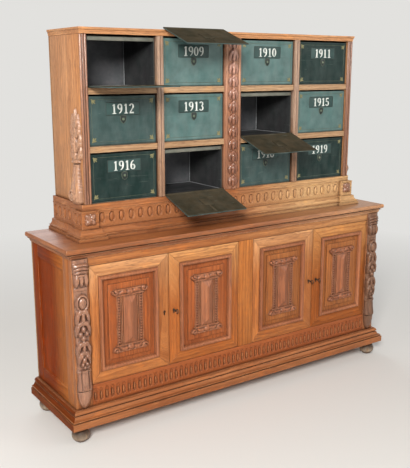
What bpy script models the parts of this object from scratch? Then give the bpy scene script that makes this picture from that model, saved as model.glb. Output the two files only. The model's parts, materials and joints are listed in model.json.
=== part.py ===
# Notary cabinet: a carved oak base with four panelled doors, and on it a rack of drop-front tin deed boxes.
# Metres, +Z up, the front faces -Y. The origin lies on the floor under the middle of the whole object,
# the one level box front included.

import math

import bmesh
import bpy
from mathutils import Matrix, Vector

# Clearances
GAP = 0.0003
DOOR_GAP = 0.0008
CUT_MARGIN = 0.002
SINK = 0.002

# Base carcase
BASE_WIDTH = 1.92
BASE_DEPTH = 0.455
BASE_HEIGHT = 0.912
SIDE_BOARD = 0.025
BACK_BOARD = 0.015
TOP_THICKNESS = 0.048
TOP_SIDE_OVERHANG = 0.028
TOP_FRONT_OVERHANG = 0.022
PLINTH_HEIGHT = 0.080
PLINTH_SIDE_OVERHANG = 0.040
PLINTH_FRONT_OVERHANG = 0.048
SIDE_PANEL_MARGIN = 0.065
SIDE_PANEL_DEPTH = 0.006
SIDE_PANEL_BEVEL = 0.012
FLOOR_BOARD = 0.020
FLOOR_DROP = 0.008

# Bun feet
FOOT_HEIGHT = 0.082
FOOT_RADIUS = 0.041
FOOT_NECK_RADIUS = 0.026
FOOT_INSET = 0.060
FOOT_STEPS = 16

# Face frame and corner pilasters
FRAME_THICKNESS = 0.025
TOP_RAIL_HEIGHT = 0.038
APRON_HEIGHT = 0.101
CENTRE_STILE_WIDTH = 0.093
PILASTER_WIDTH = 0.082
PILASTER_RELIEF = 0.028
CARVING_MARGIN = 0.002
CARVING_RELIEF = 0.016

# Doors
DOOR_THICKNESS = 0.022
HINGE_STILE = 0.045
LOCK_STILE = 0.060
DOOR_RAIL = 0.055
RABBET = 0.008
PANEL_MOULDING = 0.021
PANEL_BAND = 0.008
PANEL_FIELDING = 0.018
TABLET_WIDTH = 0.070
TABLET_HEIGHT = 0.230
TABLET_RELIEF = 0.016
TABLET_RIDGE = 0.006
STRAP_WIDTH = 0.150
STRAP_HEIGHT = 0.036
STRAP_RELIEF = 0.005
SCROLL_RADIUS = 0.016
SCROLL_RELIEF = 0.008
BEAD_STRIP_WIDTH = 0.008

# Locks and keys
KEY_HEIGHT = 0.540
KEY_INSET = 0.026
KEY_SHANK_RADIUS = 0.003
KEYHOLE_DEPTH = 0.014
KEY_REACH = 0.020
KEY_BOW_RADIUS = 0.010
KEY_BOW_WIRE = 0.0024

# Rack
COLUMN_WIDTH = 0.353
POST_WIDTH = 0.034
POST_PROUD = 0.004
CENTRE_POST_WIDTH = 0.100
CENTRE_POST_DEPTH = 0.030
RACK_SIDE = 0.034
RACK_DEPTH = 0.330
ROW_OPENING = 0.230
ROWS = 3
SHELF_THICKNESS = 0.028
RACK_TOP_THICKNESS = 0.028
RACK_TOP_OVERHANG = 0.006
RACK_PLINTH_HEIGHT = 0.134
RACK_PLINTH_MARGIN = 0.012
RACK_MOULDING = 0.030
PEDESTAL_WIDTH = 0.085
PEDESTAL_PROUD = 0.018
PEDESTAL_SIDE_PROUD = 0.014
ROSETTE_RADIUS = 0.024
ROSETTE_RELIEF = 0.010
CONSOLE_HEIGHT = 0.430
CONSOLE_WIDTH = 0.080
CONSOLE_RELIEF = 0.036
CONSOLE_INSET = 0.048

# Fluted friezes
RACK_FLUTE_PITCH = 0.050
RACK_FLUTE_WIDTH = 0.028
RACK_FLUTE_HEIGHT = 0.048
APRON_FLUTE_PITCH = 0.029
APRON_FLUTE_WIDTH = 0.019
APRON_FLUTE_HEIGHT = 0.054
FLUTE_DEPTH = 0.005
FLUTE_SIDES = 10

# Deed boxes
BOX_SIDE_GAP = 0.004
BOX_TOP_GAP = 0.008
BOX_BACK_GAP = 0.008
TIN = 0.0025
FLAP_THICKNESS = 0.006
FLAP_BORDER = 0.007
FLAP_RECESS = 0.008
FLAP_DROOP = math.radians(20)
LABEL_WIDTH = 0.170
LABEL_HEIGHT = 0.055
LABEL_BAR = 0.004
LABEL_RELIEF = 0.002
LABEL_DROP = 0.058
LOCK_RADIUS = 0.012
LOCK_RELIEF = 0.004
LOCK_DROP = 0.104

# Worked out from the sizes above
HALF_BASE = BASE_WIDTH / 2
HINGE_RISE = FLAP_RECESS * math.tan(FLAP_DROOP) + GAP / math.cos(FLAP_DROOP)
BOX_WIDTH = COLUMN_WIDTH - 2 * BOX_SIDE_GAP
BOX_HEIGHT = ROW_OPENING - BOX_TOP_GAP
FLAP_LENGTH = BOX_HEIGHT - HINGE_RISE
BACK = (RACK_DEPTH - FLAP_RECESS + FLAP_LENGTH) / 2
DOOR_FACE = BACK - BASE_DEPTH
FRAME_BACK = DOOR_FACE + FRAME_THICKNESS
BACK_FACE = BACK - BACK_BOARD
PLINTH_TOP = FOOT_HEIGHT + PLINTH_HEIGHT
TOP_UNDERSIDE = BASE_HEIGHT - TOP_THICKNESS
DOOR_BOTTOM = PLINTH_TOP + APRON_HEIGHT
DOOR_TOP = TOP_UNDERSIDE - TOP_RAIL_HEIGHT
HALF_OPENING = HALF_BASE - PILASTER_WIDTH
DOOR_WIDTH = (HALF_OPENING - CENTRE_STILE_WIDTH / 2 - 3 * DOOR_GAP) / 2
DOOR_HEIGHT = DOOR_TOP - DOOR_BOTTOM - 2 * DOOR_GAP
RACK_FRONT = BACK - RACK_DEPTH
POST_FRONT = RACK_FRONT - POST_PROUD
HINGE_Y = RACK_FRONT + FLAP_RECESS
HALF_RACK = CENTRE_POST_WIDTH / 2 + 2 * COLUMN_WIDTH + POST_WIDTH
RACK_OUTER = HALF_RACK + RACK_SIDE
RACK_FLOOR = BASE_HEIGHT + RACK_PLINTH_HEIGHT + SHELF_THICKNESS
ROW_PITCH = ROW_OPENING + SHELF_THICKNESS
RACK_TOP_UNDERSIDE = RACK_FLOOR + ROWS * ROW_PITCH - SHELF_THICKNESS
RACK_TOP = RACK_TOP_UNDERSIDE + RACK_TOP_THICKNESS
POST_X = CENTRE_POST_WIDTH / 2 + COLUMN_WIDTH + POST_WIDTH / 2
COLUMN_X = [-POST_X - (POST_WIDTH + COLUMN_WIDTH) / 2, -POST_X + (POST_WIDTH + COLUMN_WIDTH) / 2]
COLUMN_X += [-x for x in reversed(COLUMN_X)]
HALVING = (RACK_FRONT + BACK_FACE) / 2
FAR = 1.0

# Finishes: colour as seen, roughness, metallic
FINISHES = {
    "oak_light": ((196, 145, 100), 0.45, 0.0),
    "oak_warm": ((168, 104, 66), 0.45, 0.0),
    "oak_carved": ((160, 110, 82), 0.5, 0.0),
    "oak_worn": ((128, 104, 84), 0.6, 0.0),
    "green_tin": ((72, 98, 92), 0.4, 0.2),
    "dark_tin": ((73, 66, 55), 0.55, 0.3),
    "iron": ((60, 52, 46), 0.45, 0.9),
}


def linear(channel):
    share = channel / 255
    return share / 12.92 if share <= 0.04045 else ((share + 0.055) / 1.055) ** 2.4


def make_material(name):
    colour, roughness, metallic = FINISHES[name]
    material = bpy.data.materials.new(name)
    material.use_nodes = True
    shader = material.node_tree.nodes["Principled BSDF"]
    shader.inputs["Base Color"].default_value = [linear(c) for c in colour] + [1.0]
    shader.inputs["Roughness"].default_value = roughness
    shader.inputs["Metallic"].default_value = metallic
    return material


for old in list(bpy.data.objects):
    bpy.data.objects.remove(old, do_unlink=True)
parts = bpy.data.collections.new("notary_cabinet")
cutters = bpy.data.collections.new("cutters")
bpy.context.scene.collection.children.link(parts)
bpy.context.scene.collection.children.link(cutters)
cutters.hide_render = True
materials = {name: make_material(name) for name in FINISHES}


# Building blocks: each takes or gives a bmesh in world coordinates
def block(x, y, z):
    shape = bmesh.new()
    low, high = Vector((x[0], y[0], z[0])), Vector((x[1], y[1], z[1]))
    place = Matrix.LocRotScale((low + high) / 2, None, high - low)
    bmesh.ops.create_cube(shape, size=1, matrix=place)
    return shape


def cylinder_y(centre, radius, y, sides):
    shape = bmesh.new()
    middle = Vector((centre[0], (y[0] + y[1]) / 2, centre[1]))
    place = Matrix.Translation(middle) @ Matrix.Rotation(math.pi / 2, 4, "X")
    bmesh.ops.create_cone(shape, cap_ends=True, segments=sides, radius1=radius, radius2=radius,
                          depth=abs(y[1] - y[0]), matrix=place)
    return shape


def boss(centre, radii, sides=8, rings=5, facing="X"):
    shape = bmesh.new()
    size = Matrix.LocRotScale(Vector(centre), None, Vector(radii))
    place = size @ Matrix.Rotation(math.pi / 2, 4, facing)
    bmesh.ops.create_uvsphere(shape, u_segments=sides, v_segments=rings, radius=1, matrix=place)
    return shape


def loft(rings, shape=None):
    shape = shape or bmesh.new()
    rows = [[shape.verts.new(point) for point in ring] for ring in rings]
    faces = [shape.faces.new(rows[0]), shape.faces.new(rows[-1])]
    for lower, upper in zip(rows, rows[1:]):
        for i, corner in enumerate(lower):
            after = (i + 1) % len(lower)
            faces.append(shape.faces.new((corner, lower[after], upper[after], upper[i])))
    bmesh.ops.recalc_face_normals(shape, faces=faces)
    return shape


def prism(outline, z):
    return loft([[(x, y, level) for x, y in outline] for level in z])


def place_mesh(name, mesh, finish, origin=(0, 0, 0), parent=None):
    obj = bpy.data.objects.new(name, mesh)
    parts.objects.link(obj)
    if not mesh.materials:
        mesh.materials.append(materials[finish])
    obj.location = origin
    if parent:
        obj.parent = parent
        obj.location = Vector(origin) - parent.location
    return obj


def part(name, shape, finish, origin=(0, 0, 0), parent=None):
    bmesh.ops.translate(shape, verts=shape.verts, vec=-Vector(origin))
    mesh = bpy.data.meshes.new(name)
    shape.to_mesh(mesh)
    shape.free()
    return place_mesh(name, mesh, finish, origin, parent)


def combine(target, shape, operation):
    mesh = bpy.data.meshes.new(target.name + "_tool")
    shape.to_mesh(mesh)
    shape.free()
    tool = bpy.data.objects.new(mesh.name, mesh)
    cutters.objects.link(tool)
    tool.hide_render = True
    tool.display_type = "WIRE"
    boolean = target.modifiers.new(operation.lower(), "BOOLEAN")
    boolean.operation = operation
    boolean.object = tool


def cut(target, shape):
    combine(target, shape, "DIFFERENCE")


def add(target, shape):
    combine(target, shape, "UNION")


def freeze(obj):
    graph = bpy.context.evaluated_depsgraph_get()
    mesh = bpy.data.meshes.new_from_object(obj.evaluated_get(graph))
    bpy.data.objects.remove(obj, do_unlink=True)
    return mesh


# Mouldings: a profile of (share of the overhang, height) points, run round an outline
def quarter(start, end, steps, hollow):
    points = []
    for i in range(steps + 1):
        turn = math.pi / 2 * i / steps
        near, far = 1 - math.cos(turn), math.sin(turn)
        across, up = (near, far) if hollow else (far, near)
        points.append((start[0] + (end[0] - start[0]) * across, start[1] + (end[1] - start[1]) * up))
    return points


def moulded_slab(outline, overhang, profile, bottom, height):
    """The outline runs counter-clockwise from the back left corner. Its last edge, the back, stays flat."""
    normals = []
    for (x0, y0), (x1, y1) in zip(outline, outline[1:]):
        length = math.hypot(x1 - x0, y1 - y0)
        normals.append(((y1 - y0) / length, (x0 - x1) / length))
    still = (0.0, 0.0)
    corners = list(zip(outline, [still] + normals, normals + [still]))
    rings = []
    for share, level in profile:
        ring = []
        for (x, y), before, after in corners:
            out_x = share * overhang[0] * (before[0] + after[0])
            out_y = share * overhang[1] * (before[1] + after[1])
            ring.append((x + out_x, y + out_y, bottom + level * height))
        rings.append(ring)
    return loft(rings)


def rectangle(half_width, front, back):
    return [(-half_width, back), (-half_width, front), (half_width, front), (half_width, back)]


# Fluted friezes: a row of upright ovals, sunk with sloping walls
def flute_row(shape, centres, half_width, half_height, surface, along_x):
    """Adds an oval cutter at each (along, z) centre, sunk in from a front at y, or from a side at x."""
    inward = 1 if along_x else -math.copysign(1, surface)
    for along, z in centres:
        rings = []
        for depth, share in ((-CUT_MARGIN, 1.0), (0.0, 1.0), (FLUTE_DEPTH, 0.55)):
            ring = []
            for i in range(FLUTE_SIDES):
                turn = 2 * math.pi * (i + 0.5) / FLUTE_SIDES
                across = along + half_width * share * math.cos(turn)
                up = z + (half_height - half_width * (1 - share)) * math.sin(turn)
                level = surface + inward * depth
                ring.append((across, level, up) if along_x else (level, across, up))
            rings.append(ring)
        loft(rings, shape)


def spread(start, end, pitch):
    count = int((end - start) / pitch)
    step = (end - start) / count
    return [start + step * (i + 0.5) for i in range(count)]


# Base
def build_base_boards():
    outline = rectangle(HALF_BASE, DOOR_FACE, BACK)
    nose = quarter((0.8, 0.54), (1.0, 0.76), 3, False) + quarter((1.0, 0.76), (0.8, 1.0), 3, True)[1:]
    profile = [(0.1, 0.0)] + quarter((0.1, 0.1), (0.6, 0.42), 3, True) + [(0.65, 0.44), (0.65, 0.52)] + nose
    overhang = (TOP_SIDE_OVERHANG, TOP_FRONT_OVERHANG)
    part("base_top", moulded_slab(outline, overhang, profile, TOP_UNDERSIDE, TOP_THICKNESS), "oak_warm")

    cove = quarter((0.92, 0.48), (0.5, 0.74), 3, False)
    bead = quarter((0.5, 0.8), (0.25, 0.97), 3, True)
    profile = [(1.0, 0.0), (1.0, 0.42), (0.92, 0.44)] + cove + bead + [(0.25, 1.0)]
    overhang = (PLINTH_SIDE_OVERHANG, PLINTH_FRONT_OVERHANG)
    part("base_plinth", moulded_slab(outline, overhang, profile, FOOT_HEIGHT, PLINTH_HEIGHT), "oak_warm")

    height = (PLINTH_TOP + GAP, TOP_UNDERSIDE - GAP)
    part("base_back", block((-HALF_BASE, HALF_BASE), (BACK_FACE, BACK), height), "oak_warm")
    half_inside = HALF_BASE - SIDE_BOARD - GAP
    depth = (FRAME_BACK + GAP, BACK_FACE - GAP)
    floor_top = DOOR_BOTTOM - FLOOR_DROP
    floor = block((-half_inside, half_inside), depth, (floor_top - FLOOR_BOARD, floor_top))
    part("base_floor", floor, "oak_warm")
    for side, sign in (("left", -1), ("right", 1)):
        width = sorted((sign * HALF_BASE, sign * (HALF_BASE - SIDE_BOARD)))
        board = part(f"base_{side}_side", block(width, depth, height), "oak_warm")
        rings = []
        for inset, x in ((-SIDE_PANEL_BEVEL * CUT_MARGIN / SIDE_PANEL_DEPTH, HALF_BASE + CUT_MARGIN),
                         (SIDE_PANEL_BEVEL, HALF_BASE - SIDE_PANEL_DEPTH)):
            margin = SIDE_PANEL_MARGIN + inset
            front, back = depth[0] + margin, depth[1] - margin
            low, high = height[0] + margin, height[1] - margin
            corners = [(front, low), (back, low), (back, high), (front, high)]
            rings.append([(sign * x, y, z) for y, z in corners])
        cut(board, loft(rings))


def build_feet():
    top = FOOT_HEIGHT - GAP
    middle = 0.42 * top
    points = [(0.0, top), (FOOT_NECK_RADIUS, top), (FOOT_NECK_RADIUS, 0.9 * top)]
    for i in range(7):
        turn = math.radians(65 - 135 * i / 6)
        rise = middle * math.sin(turn) / math.sin(math.radians(70))
        points.append((FOOT_RADIUS * math.cos(turn), middle + rise))
    points.append((0.0, points[-1][1]))
    profile = bmesh.new()
    verts = [profile.verts.new((radius, 0, z)) for radius, z in points]
    for upper, lower in zip(verts, verts[1:]):
        profile.edges.new((upper, lower))
    mesh = bpy.data.meshes.new("bun_foot")
    profile.to_mesh(mesh)
    profile.free()
    across = HALF_BASE + PLINTH_SIDE_OVERHANG - FOOT_INSET
    rows = {"front": DOOR_FACE - PLINTH_FRONT_OVERHANG + FOOT_INSET, "back": BACK - FOOT_INSET}
    for row, y in rows.items():
        for side, sign in (("left", -1), ("right", 1)):
            foot = place_mesh(f"foot_{row}_{side}", mesh, "oak_worn", (sign * across, y, 0))
            screw = foot.modifiers.new("turn", "SCREW")
            screw.steps = screw.render_steps = FOOT_STEPS
            screw.use_merge_vertices = True
            screw.merge_threshold = 0.0001
            screw.use_smooth_shade = True


def build_face_frame():
    width = (-HALF_OPENING + GAP, HALF_OPENING - GAP)
    shape = block(width, (DOOR_FACE, FRAME_BACK), (PLINTH_TOP + GAP, TOP_UNDERSIDE - GAP))
    frame = part("base_face_frame", shape, "oak_light")
    for sign in (-1, 1):
        opening = sorted((sign * CENTRE_STILE_WIDTH / 2, sign * (HALF_OPENING + CUT_MARGIN)))
        depth = (DOOR_FACE - CUT_MARGIN, FRAME_BACK + CUT_MARGIN)
        cut(frame, block(opening, depth, (DOOR_BOTTOM, DOOR_TOP)))
    flutes = bmesh.new()
    z = PLINTH_TOP + APRON_HEIGHT / 2
    centres = [(x, z) for x in spread(-HALF_OPENING, HALF_OPENING, APRON_FLUTE_PITCH)]
    flute_row(flutes, centres, APRON_FLUTE_WIDTH / 2, APRON_FLUTE_HEIGHT / 2, DOOR_FACE, True)
    cut(frame, flutes)


def build_pilasters():
    """A corner post with a carved front: capital, cabochon, drop of fruit, grooved block, tapering tail."""
    bottom, top = PLINTH_TOP + GAP, TOP_UNDERSIDE - GAP
    height = top - bottom
    root = DOOR_FACE + SINK
    half_post = PILASTER_WIDTH / 2
    # Height from the foot, half width and relief, each as a share of the whole
    stages = [(0.0, 0.1, 0.15), (0.03, 0.35, 0.3), (0.08, 0.7, 0.5), (0.125, 0.86, 0.6), (0.13, 0.94, 1.0),
              (0.145, 0.94, 1.0), (0.2, 0.84, 0.82), (0.25, 0.84, 0.7), (0.265, 0.92, 0.75), (0.275, 0.7, 0.3),
              (0.795, 0.7, 0.3), (0.81, 0.88, 0.5), (0.83, 0.88, 0.5), (0.85, 0.82, 0.72), (0.9, 0.92, 0.95),
              (0.95, 1.0, 1.0), (0.975, 1.0, 0.85), (0.98, 1.0, 0.45), (1.0, 1.0, 0.45)]
    # Height, place across, half width, half height and relief, each as a share of the whole
    bosses = [(0.725, 0.0, 0.6, 0.055, 1.0), (0.64, 0.0, 0.4, 0.045, 0.8), (0.56, -0.36, 0.4, 0.045, 0.9),
              (0.56, 0.36, 0.4, 0.045, 0.9), (0.49, 0.0, 0.5, 0.045, 1.0), (0.42, 0.0, 0.36, 0.04, 0.8),
              (0.36, -0.36, 0.4, 0.04, 0.85), (0.36, 0.36, 0.4, 0.04, 0.85), (0.31, 0.0, 0.42, 0.035, 0.9)]
    for side, sign in (("left", -1), ("right", 1)):
        middle = sign * (HALF_BASE - half_post)
        post = block((middle - half_post, middle + half_post), (DOOR_FACE, FRAME_BACK), (bottom, top))
        pilaster = part(f"{side}_pilaster", post, "oak_carved")
        rings = []
        for up, share, relief in stages:
            half = half_post * share
            ridge = half * 0.7
            brow = DOOR_FACE - PILASTER_RELIEF * relief * 0.55
            crest = DOOR_FACE - PILASTER_RELIEF * relief
            z = bottom + height * (up * (1 - 2 * CARVING_MARGIN) + CARVING_MARGIN)
            inner, outer = middle - half, middle + half
            rings.append([(inner, root, z), (inner, brow, z), (middle - ridge, crest, z),
                          (middle + ridge, crest, z), (outer, brow, z), (outer, root, z)])
        add(pilaster, loft(rings))
        for up, across, half, tall, relief in bosses:
            centre = (middle + across * half_post, DOOR_FACE, bottom + height * up)
            add(pilaster, boss(centre, (half * half_post, PILASTER_RELIEF * relief, height * tall)))
        groove = half_post * 0.14
        for across in (-0.42, 0.0, 0.42):
            centre = (middle + across * half_post, DOOR_FACE - PILASTER_RELIEF * 0.82, bottom + height * 0.2)
            cut(pilaster, boss(centre, (groove, groove, height * 0.045)))


# Doors
def panel_mesh():
    """A raised and fielded panel: flange in the rabbet, moulding, sunk band, sloped field and cartouche."""
    half_width = (DOOR_WIDTH - HINGE_STILE - LOCK_STILE) / 2
    half_height = DOOR_HEIGHT / 2 - DOOR_RAIL
    flange = RABBET - GAP
    seat = DOOR_THICKNESS / 2 - GAP
    band = PANEL_MOULDING + PANEL_BAND
    field = band + PANEL_FIELDING
    # Inset from the window's edge, and how far the panel stands proud of the door face
    steps = [(-flange, -DOOR_THICKNESS), (-flange, -DOOR_THICKNESS + seat), (GAP, -DOOR_THICKNESS + seat),
             (GAP, 0.003), (0.2 * PANEL_MOULDING, 0.006), (0.5 * PANEL_MOULDING, 0.0065),
             (0.8 * PANEL_MOULDING, 0.004), (PANEL_MOULDING, -0.004), (band, -0.006), (field, -0.001),
             (field + 0.002, 0.0025)]
    rings = []
    for inset, proud in steps:
        x, z = half_width - inset, half_height - inset
        rings.append([(-x, -proud, -z), (x, -proud, -z), (x, -proud, z), (-x, -proud, z)])
    panel = part("panel_pattern", loft(rings), "oak_warm")
    face = -steps[-1][1]
    root = face + SINK
    strap_z = TABLET_HEIGHT / 2 + STRAP_HEIGHT / 2 - SINK
    rings = []
    shoulder, crest = face - 0.3 * TABLET_RELIEF, face - TABLET_RELIEF
    for inset, y in ((0.0, root), (0.0, shoulder), ((TABLET_WIDTH - TABLET_RIDGE) / 2, crest)):
        x, z = TABLET_WIDTH / 2 - inset, TABLET_HEIGHT / 2 - inset
        rings.append([(-x, y, -z), (x, y, -z), (x, y, z), (-x, y, z)])
    add(panel, loft(rings))
    for sign in (-1, 1):
        z = sign * strap_z
        level = sorted((z - STRAP_HEIGHT / 2, z + STRAP_HEIGHT / 2))
        add(panel, block((-STRAP_WIDTH / 2, STRAP_WIDTH / 2), (face - STRAP_RELIEF, root), level))
        add(panel, boss((0, face, z), (STRAP_HEIGHT / 2, STRAP_RELIEF * 2, STRAP_HEIGHT * 0.4)))
        for side in (-1, 1):
            scroll = (side * (STRAP_WIDTH / 2 - SCROLL_RADIUS / 2), z + sign * STRAP_HEIGHT / 4)
            add(panel, cylinder_y(scroll, SCROLL_RADIUS, (face - SCROLL_RELIEF, root), 12))
    for side in (-1, 1):
        x = side * (STRAP_WIDTH / 2 + TABLET_WIDTH / 2) / 2
        strip = (x - BEAD_STRIP_WIDTH / 2, x + BEAD_STRIP_WIDTH / 2)
        add(panel, block(strip, (face - STRAP_RELIEF * 0.7, root), (-TABLET_HEIGHT / 2, TABLET_HEIGHT / 2)))
    return freeze(panel)


def build_doors():
    mesh = panel_mesh()
    edge = CENTRE_STILE_WIDTH / 2 + DOOR_GAP
    depth = (DOOR_FACE, DOOR_FACE + DOOR_THICKNESS)
    low, high = DOOR_BOTTOM + DOOR_GAP, DOOR_TOP - DOOR_GAP
    lock_radius = (KEY_SHANK_RADIUS + GAP) / math.cos(math.pi / 12)
    starts = [-HALF_OPENING + DOOR_GAP, -edge - DOOR_WIDTH, edge, HALF_OPENING - DOOR_GAP - DOOR_WIDTH]
    for number, left in enumerate(starts, 1):
        right = left + DOOR_WIDTH
        hinged_left = number % 2 == 1
        hinge = (left if hinged_left else right, DOOR_FACE, low)
        frame = part(f"door_frame_{number}", block((left, right), depth, (low, high)), "oak_light", hinge)
        stiles = (HINGE_STILE, LOCK_STILE) if hinged_left else (LOCK_STILE, HINGE_STILE)
        window = (left + stiles[0], right - stiles[1])
        tall = (low + DOOR_RAIL, high - DOOR_RAIL)
        cut(frame, block(window, (depth[0] - CUT_MARGIN, depth[1] + CUT_MARGIN), tall))
        rabbet = (depth[0] + DOOR_THICKNESS / 2, depth[1] + CUT_MARGIN)
        wide = (window[0] - RABBET, window[1] + RABBET)
        cut(frame, block(wide, rabbet, (tall[0] - RABBET, tall[1] + RABBET)))
        key_x = right - KEY_INSET if hinged_left else left + KEY_INSET
        hole = (DOOR_FACE - CUT_MARGIN, DOOR_FACE + KEYHOLE_DEPTH)
        cut(frame, cylinder_y((key_x, KEY_HEIGHT), lock_radius, hole, 12))
        middle = (sum(window) / 2, DOOR_FACE, (low + high) / 2)
        place_mesh(f"door_panel_{number}", mesh, "oak_warm", middle, frame)
        if number > 1:
            build_key(f"key_{number}", key_x, frame)


def build_key(name, x, door):
    inner = DOOR_FACE + KEYHOLE_DEPTH - GAP
    tip = DOOR_FACE - KEY_REACH
    shank = cylinder_y((x, KEY_HEIGHT), KEY_SHANK_RADIUS, (tip, inner), 8)
    key = part(name, shank, "iron", (x, DOOR_FACE, KEY_HEIGHT), door)
    bow = bmesh.new()
    sides, wire_sides = 12, 6
    rows = []
    for i in range(sides):
        turn = 2 * math.pi * i / sides
        row = []
        for j in range(wire_sides):
            roll = 2 * math.pi * j / wire_sides
            reach = KEY_BOW_RADIUS + KEY_BOW_WIRE * math.cos(roll)
            y = tip - KEY_BOW_RADIUS + reach * math.cos(turn)
            z = KEY_HEIGHT + reach * math.sin(turn)
            row.append(bow.verts.new((x + KEY_BOW_WIRE * math.sin(roll), y, z)))
        rows.append(row)
    for i, row in enumerate(rows):
        following = rows[(i + 1) % sides]
        for j in range(wire_sides):
            k = (j + 1) % wire_sides
            bow.faces.new((row[j], row[k], following[k], following[j]))
    bmesh.ops.recalc_face_normals(bow, faces=bow.faces)
    add(key, bow)


# Rack
def build_rack_plinth():
    side = RACK_OUTER + RACK_PLINTH_MARGIN
    pedestal = side + PEDESTAL_SIDE_PROUD
    rail = RACK_FRONT - GAP
    front = rail - PEDESTAL_PROUD
    inner = pedestal - PEDESTAL_WIDTH
    back_of_pedestal = front + PEDESTAL_WIDTH
    left = [(-side, BACK), (-side, back_of_pedestal), (-pedestal, back_of_pedestal), (-pedestal, front),
            (-inner, front), (-inner, rail)]
    outline = left + [(-x, y) for x, y in reversed(left)]
    profile = [(1.0, 0.0), (1.0, 0.09)] + quarter((0.9, 0.12), (0.35, 0.34), 4, False)
    profile += [(0.35, 0.37), (0.0, 0.4), (0.0, 0.9), (0.3, 0.92), (0.4, 0.96), (0.4, 1.0)]
    bottom = BASE_HEIGHT + GAP
    height = RACK_PLINTH_HEIGHT - 2 * GAP
    shape = moulded_slab(outline, (RACK_MOULDING, RACK_MOULDING), profile, bottom, height)
    plinth = part("rack_plinth", shape, "oak_light")
    z = bottom + height * 0.65
    half_size = (RACK_FLUTE_WIDTH / 2, RACK_FLUTE_HEIGHT / 2)
    flutes = bmesh.new()
    flute_row(flutes, [(x, z) for x in spread(-inner, inner, RACK_FLUTE_PITCH)], *half_size, rail, True)
    for sign in (-1, 1):
        run = spread(back_of_pedestal, BACK, RACK_FLUTE_PITCH)
        flute_row(flutes, [(y, z) for y in run], *half_size, sign * side, False)
    cut(plinth, flutes)
    petals = 4
    for sign in (-1, 1):
        x = sign * (pedestal + inner) / 2
        add(plinth, boss((x, front, z), (ROSETTE_RADIUS * 0.4, ROSETTE_RELIEF, ROSETTE_RADIUS * 0.4)))
        for i in range(petals):
            turn = 2 * math.pi * (i + 0.5) / petals
            reach = ROSETTE_RADIUS * 0.72
            centre = (x + reach * math.cos(turn), front, z + reach * math.sin(turn))
            petal = ROSETTE_RADIUS * 0.44
            add(plinth, boss(centre, (petal, ROSETTE_RELIEF * 0.6, petal), 6, 3))


def build_rack_boards():
    floor = block((-RACK_OUTER - RACK_PLINTH_MARGIN, RACK_OUTER + RACK_PLINTH_MARGIN), (RACK_FRONT, BACK),
                  (RACK_FLOOR - SHELF_THICKNESS, RACK_FLOOR))
    part("rack_floor", floor, "oak_light")
    height = (RACK_FLOOR + GAP, RACK_TOP_UNDERSIDE - GAP)
    depth = (POST_FRONT, BACK_FACE - GAP)
    part("rack_back", block((-RACK_OUTER, RACK_OUTER), (BACK_FACE, BACK), height), "oak_warm")
    profile = [(0.0, 0.0), (0.0, 0.27)] + quarter((0.2, 0.3), (1.0, 0.7), 3, True) + [(1.0, 1.0)]
    outline = rectangle(RACK_OUTER, POST_FRONT, BACK)
    overhang = (RACK_TOP_OVERHANG, RACK_TOP_OVERHANG)
    top = moulded_slab(outline, overhang, profile, RACK_TOP_UNDERSIDE, RACK_TOP_THICKNESS)
    part("rack_top", top, "oak_light")
    build_rack_sides(depth, height)
    partitions = build_partitions(depth, height)
    build_shelves(partitions)


def build_rack_sides(depth, height):
    """Each side carries a carved console: a scrolled foot, a waisted leaf, and a drop that fades out."""
    # Height, half width and relief, each as a share of the console's own size
    stages = [(0.0, 0.75, 0.7), (0.05, 0.85, 1.0), (0.12, 0.8, 1.0), (0.2, 0.62, 0.7), (0.36, 0.5, 0.55),
              (0.52, 0.42, 0.5), (0.56, 0.62, 0.65), (0.6, 0.45, 0.5), (0.78, 0.5, 0.45), (1.0, 0.1, 0.08)]
    bosses = [(0.4, 0.3, 0.1, 0.75), (0.58, 0.5, 0.05, 0.9), (0.7, 0.42, 0.1, 0.75)]
    middle = POST_FRONT + CONSOLE_INSET
    for side, sign in (("left", -1), ("right", 1)):
        width = sorted((sign * HALF_RACK, sign * RACK_OUTER))
        board = part(f"rack_{side}_side", block(width, depth, height), "oak_light")
        root = sign * (RACK_OUTER - SINK)
        rings = []
        for up, share, relief in stages:
            half = CONSOLE_WIDTH / 2 * share
            crest = sign * (RACK_OUTER + CONSOLE_RELIEF * relief)
            brow = sign * (RACK_OUTER + CONSOLE_RELIEF * relief * 0.6)
            z = height[0] + SINK + CONSOLE_HEIGHT * up
            near, far, ridge = middle - half, middle + half, half * 0.5
            rings.append([(root, near, z), (brow, near, z), (crest, middle - ridge, z),
                          (crest, middle + ridge, z), (brow, far, z), (root, far, z)])
        add(board, loft(rings))
        for up, half, tall, relief in bosses:
            centre = (sign * RACK_OUTER, middle, height[0] + CONSOLE_HEIGHT * up)
            radii = (CONSOLE_RELIEF * relief, CONSOLE_WIDTH * half, CONSOLE_HEIGHT * tall)
            add(board, boss(centre, radii, facing="Y"))


def build_partitions(depth, height):
    partitions = []
    for side, x in (("left", -POST_X), ("right", POST_X)):
        width = (x - POST_WIDTH / 2, x + POST_WIDTH / 2)
        partitions.append(part(f"rack_partition_{side}", block(width, depth, height), "oak_light"))
    stile, web = CENTRE_POST_WIDTH / 2, POST_WIDTH / 2
    stile_back = POST_FRONT + CENTRE_POST_DEPTH
    outline = [(-stile, POST_FRONT), (stile, POST_FRONT), (stile, stile_back), (web, stile_back),
               (web, depth[1]), (-web, depth[1]), (-web, stile_back), (-stile, stile_back)]
    centre = part("rack_partition_centre", prism(outline, height), "oak_light")
    partitions.append(centre)
    drops = 7
    tall = (height[1] - height[0]) / drops
    for i in range(drops):
        z = height[0] + tall * (i + 0.5)
        add(centre, boss((0, POST_FRONT, z), (stile * 0.42, CARVING_RELIEF, tall * 0.44)))
    return partitions


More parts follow.
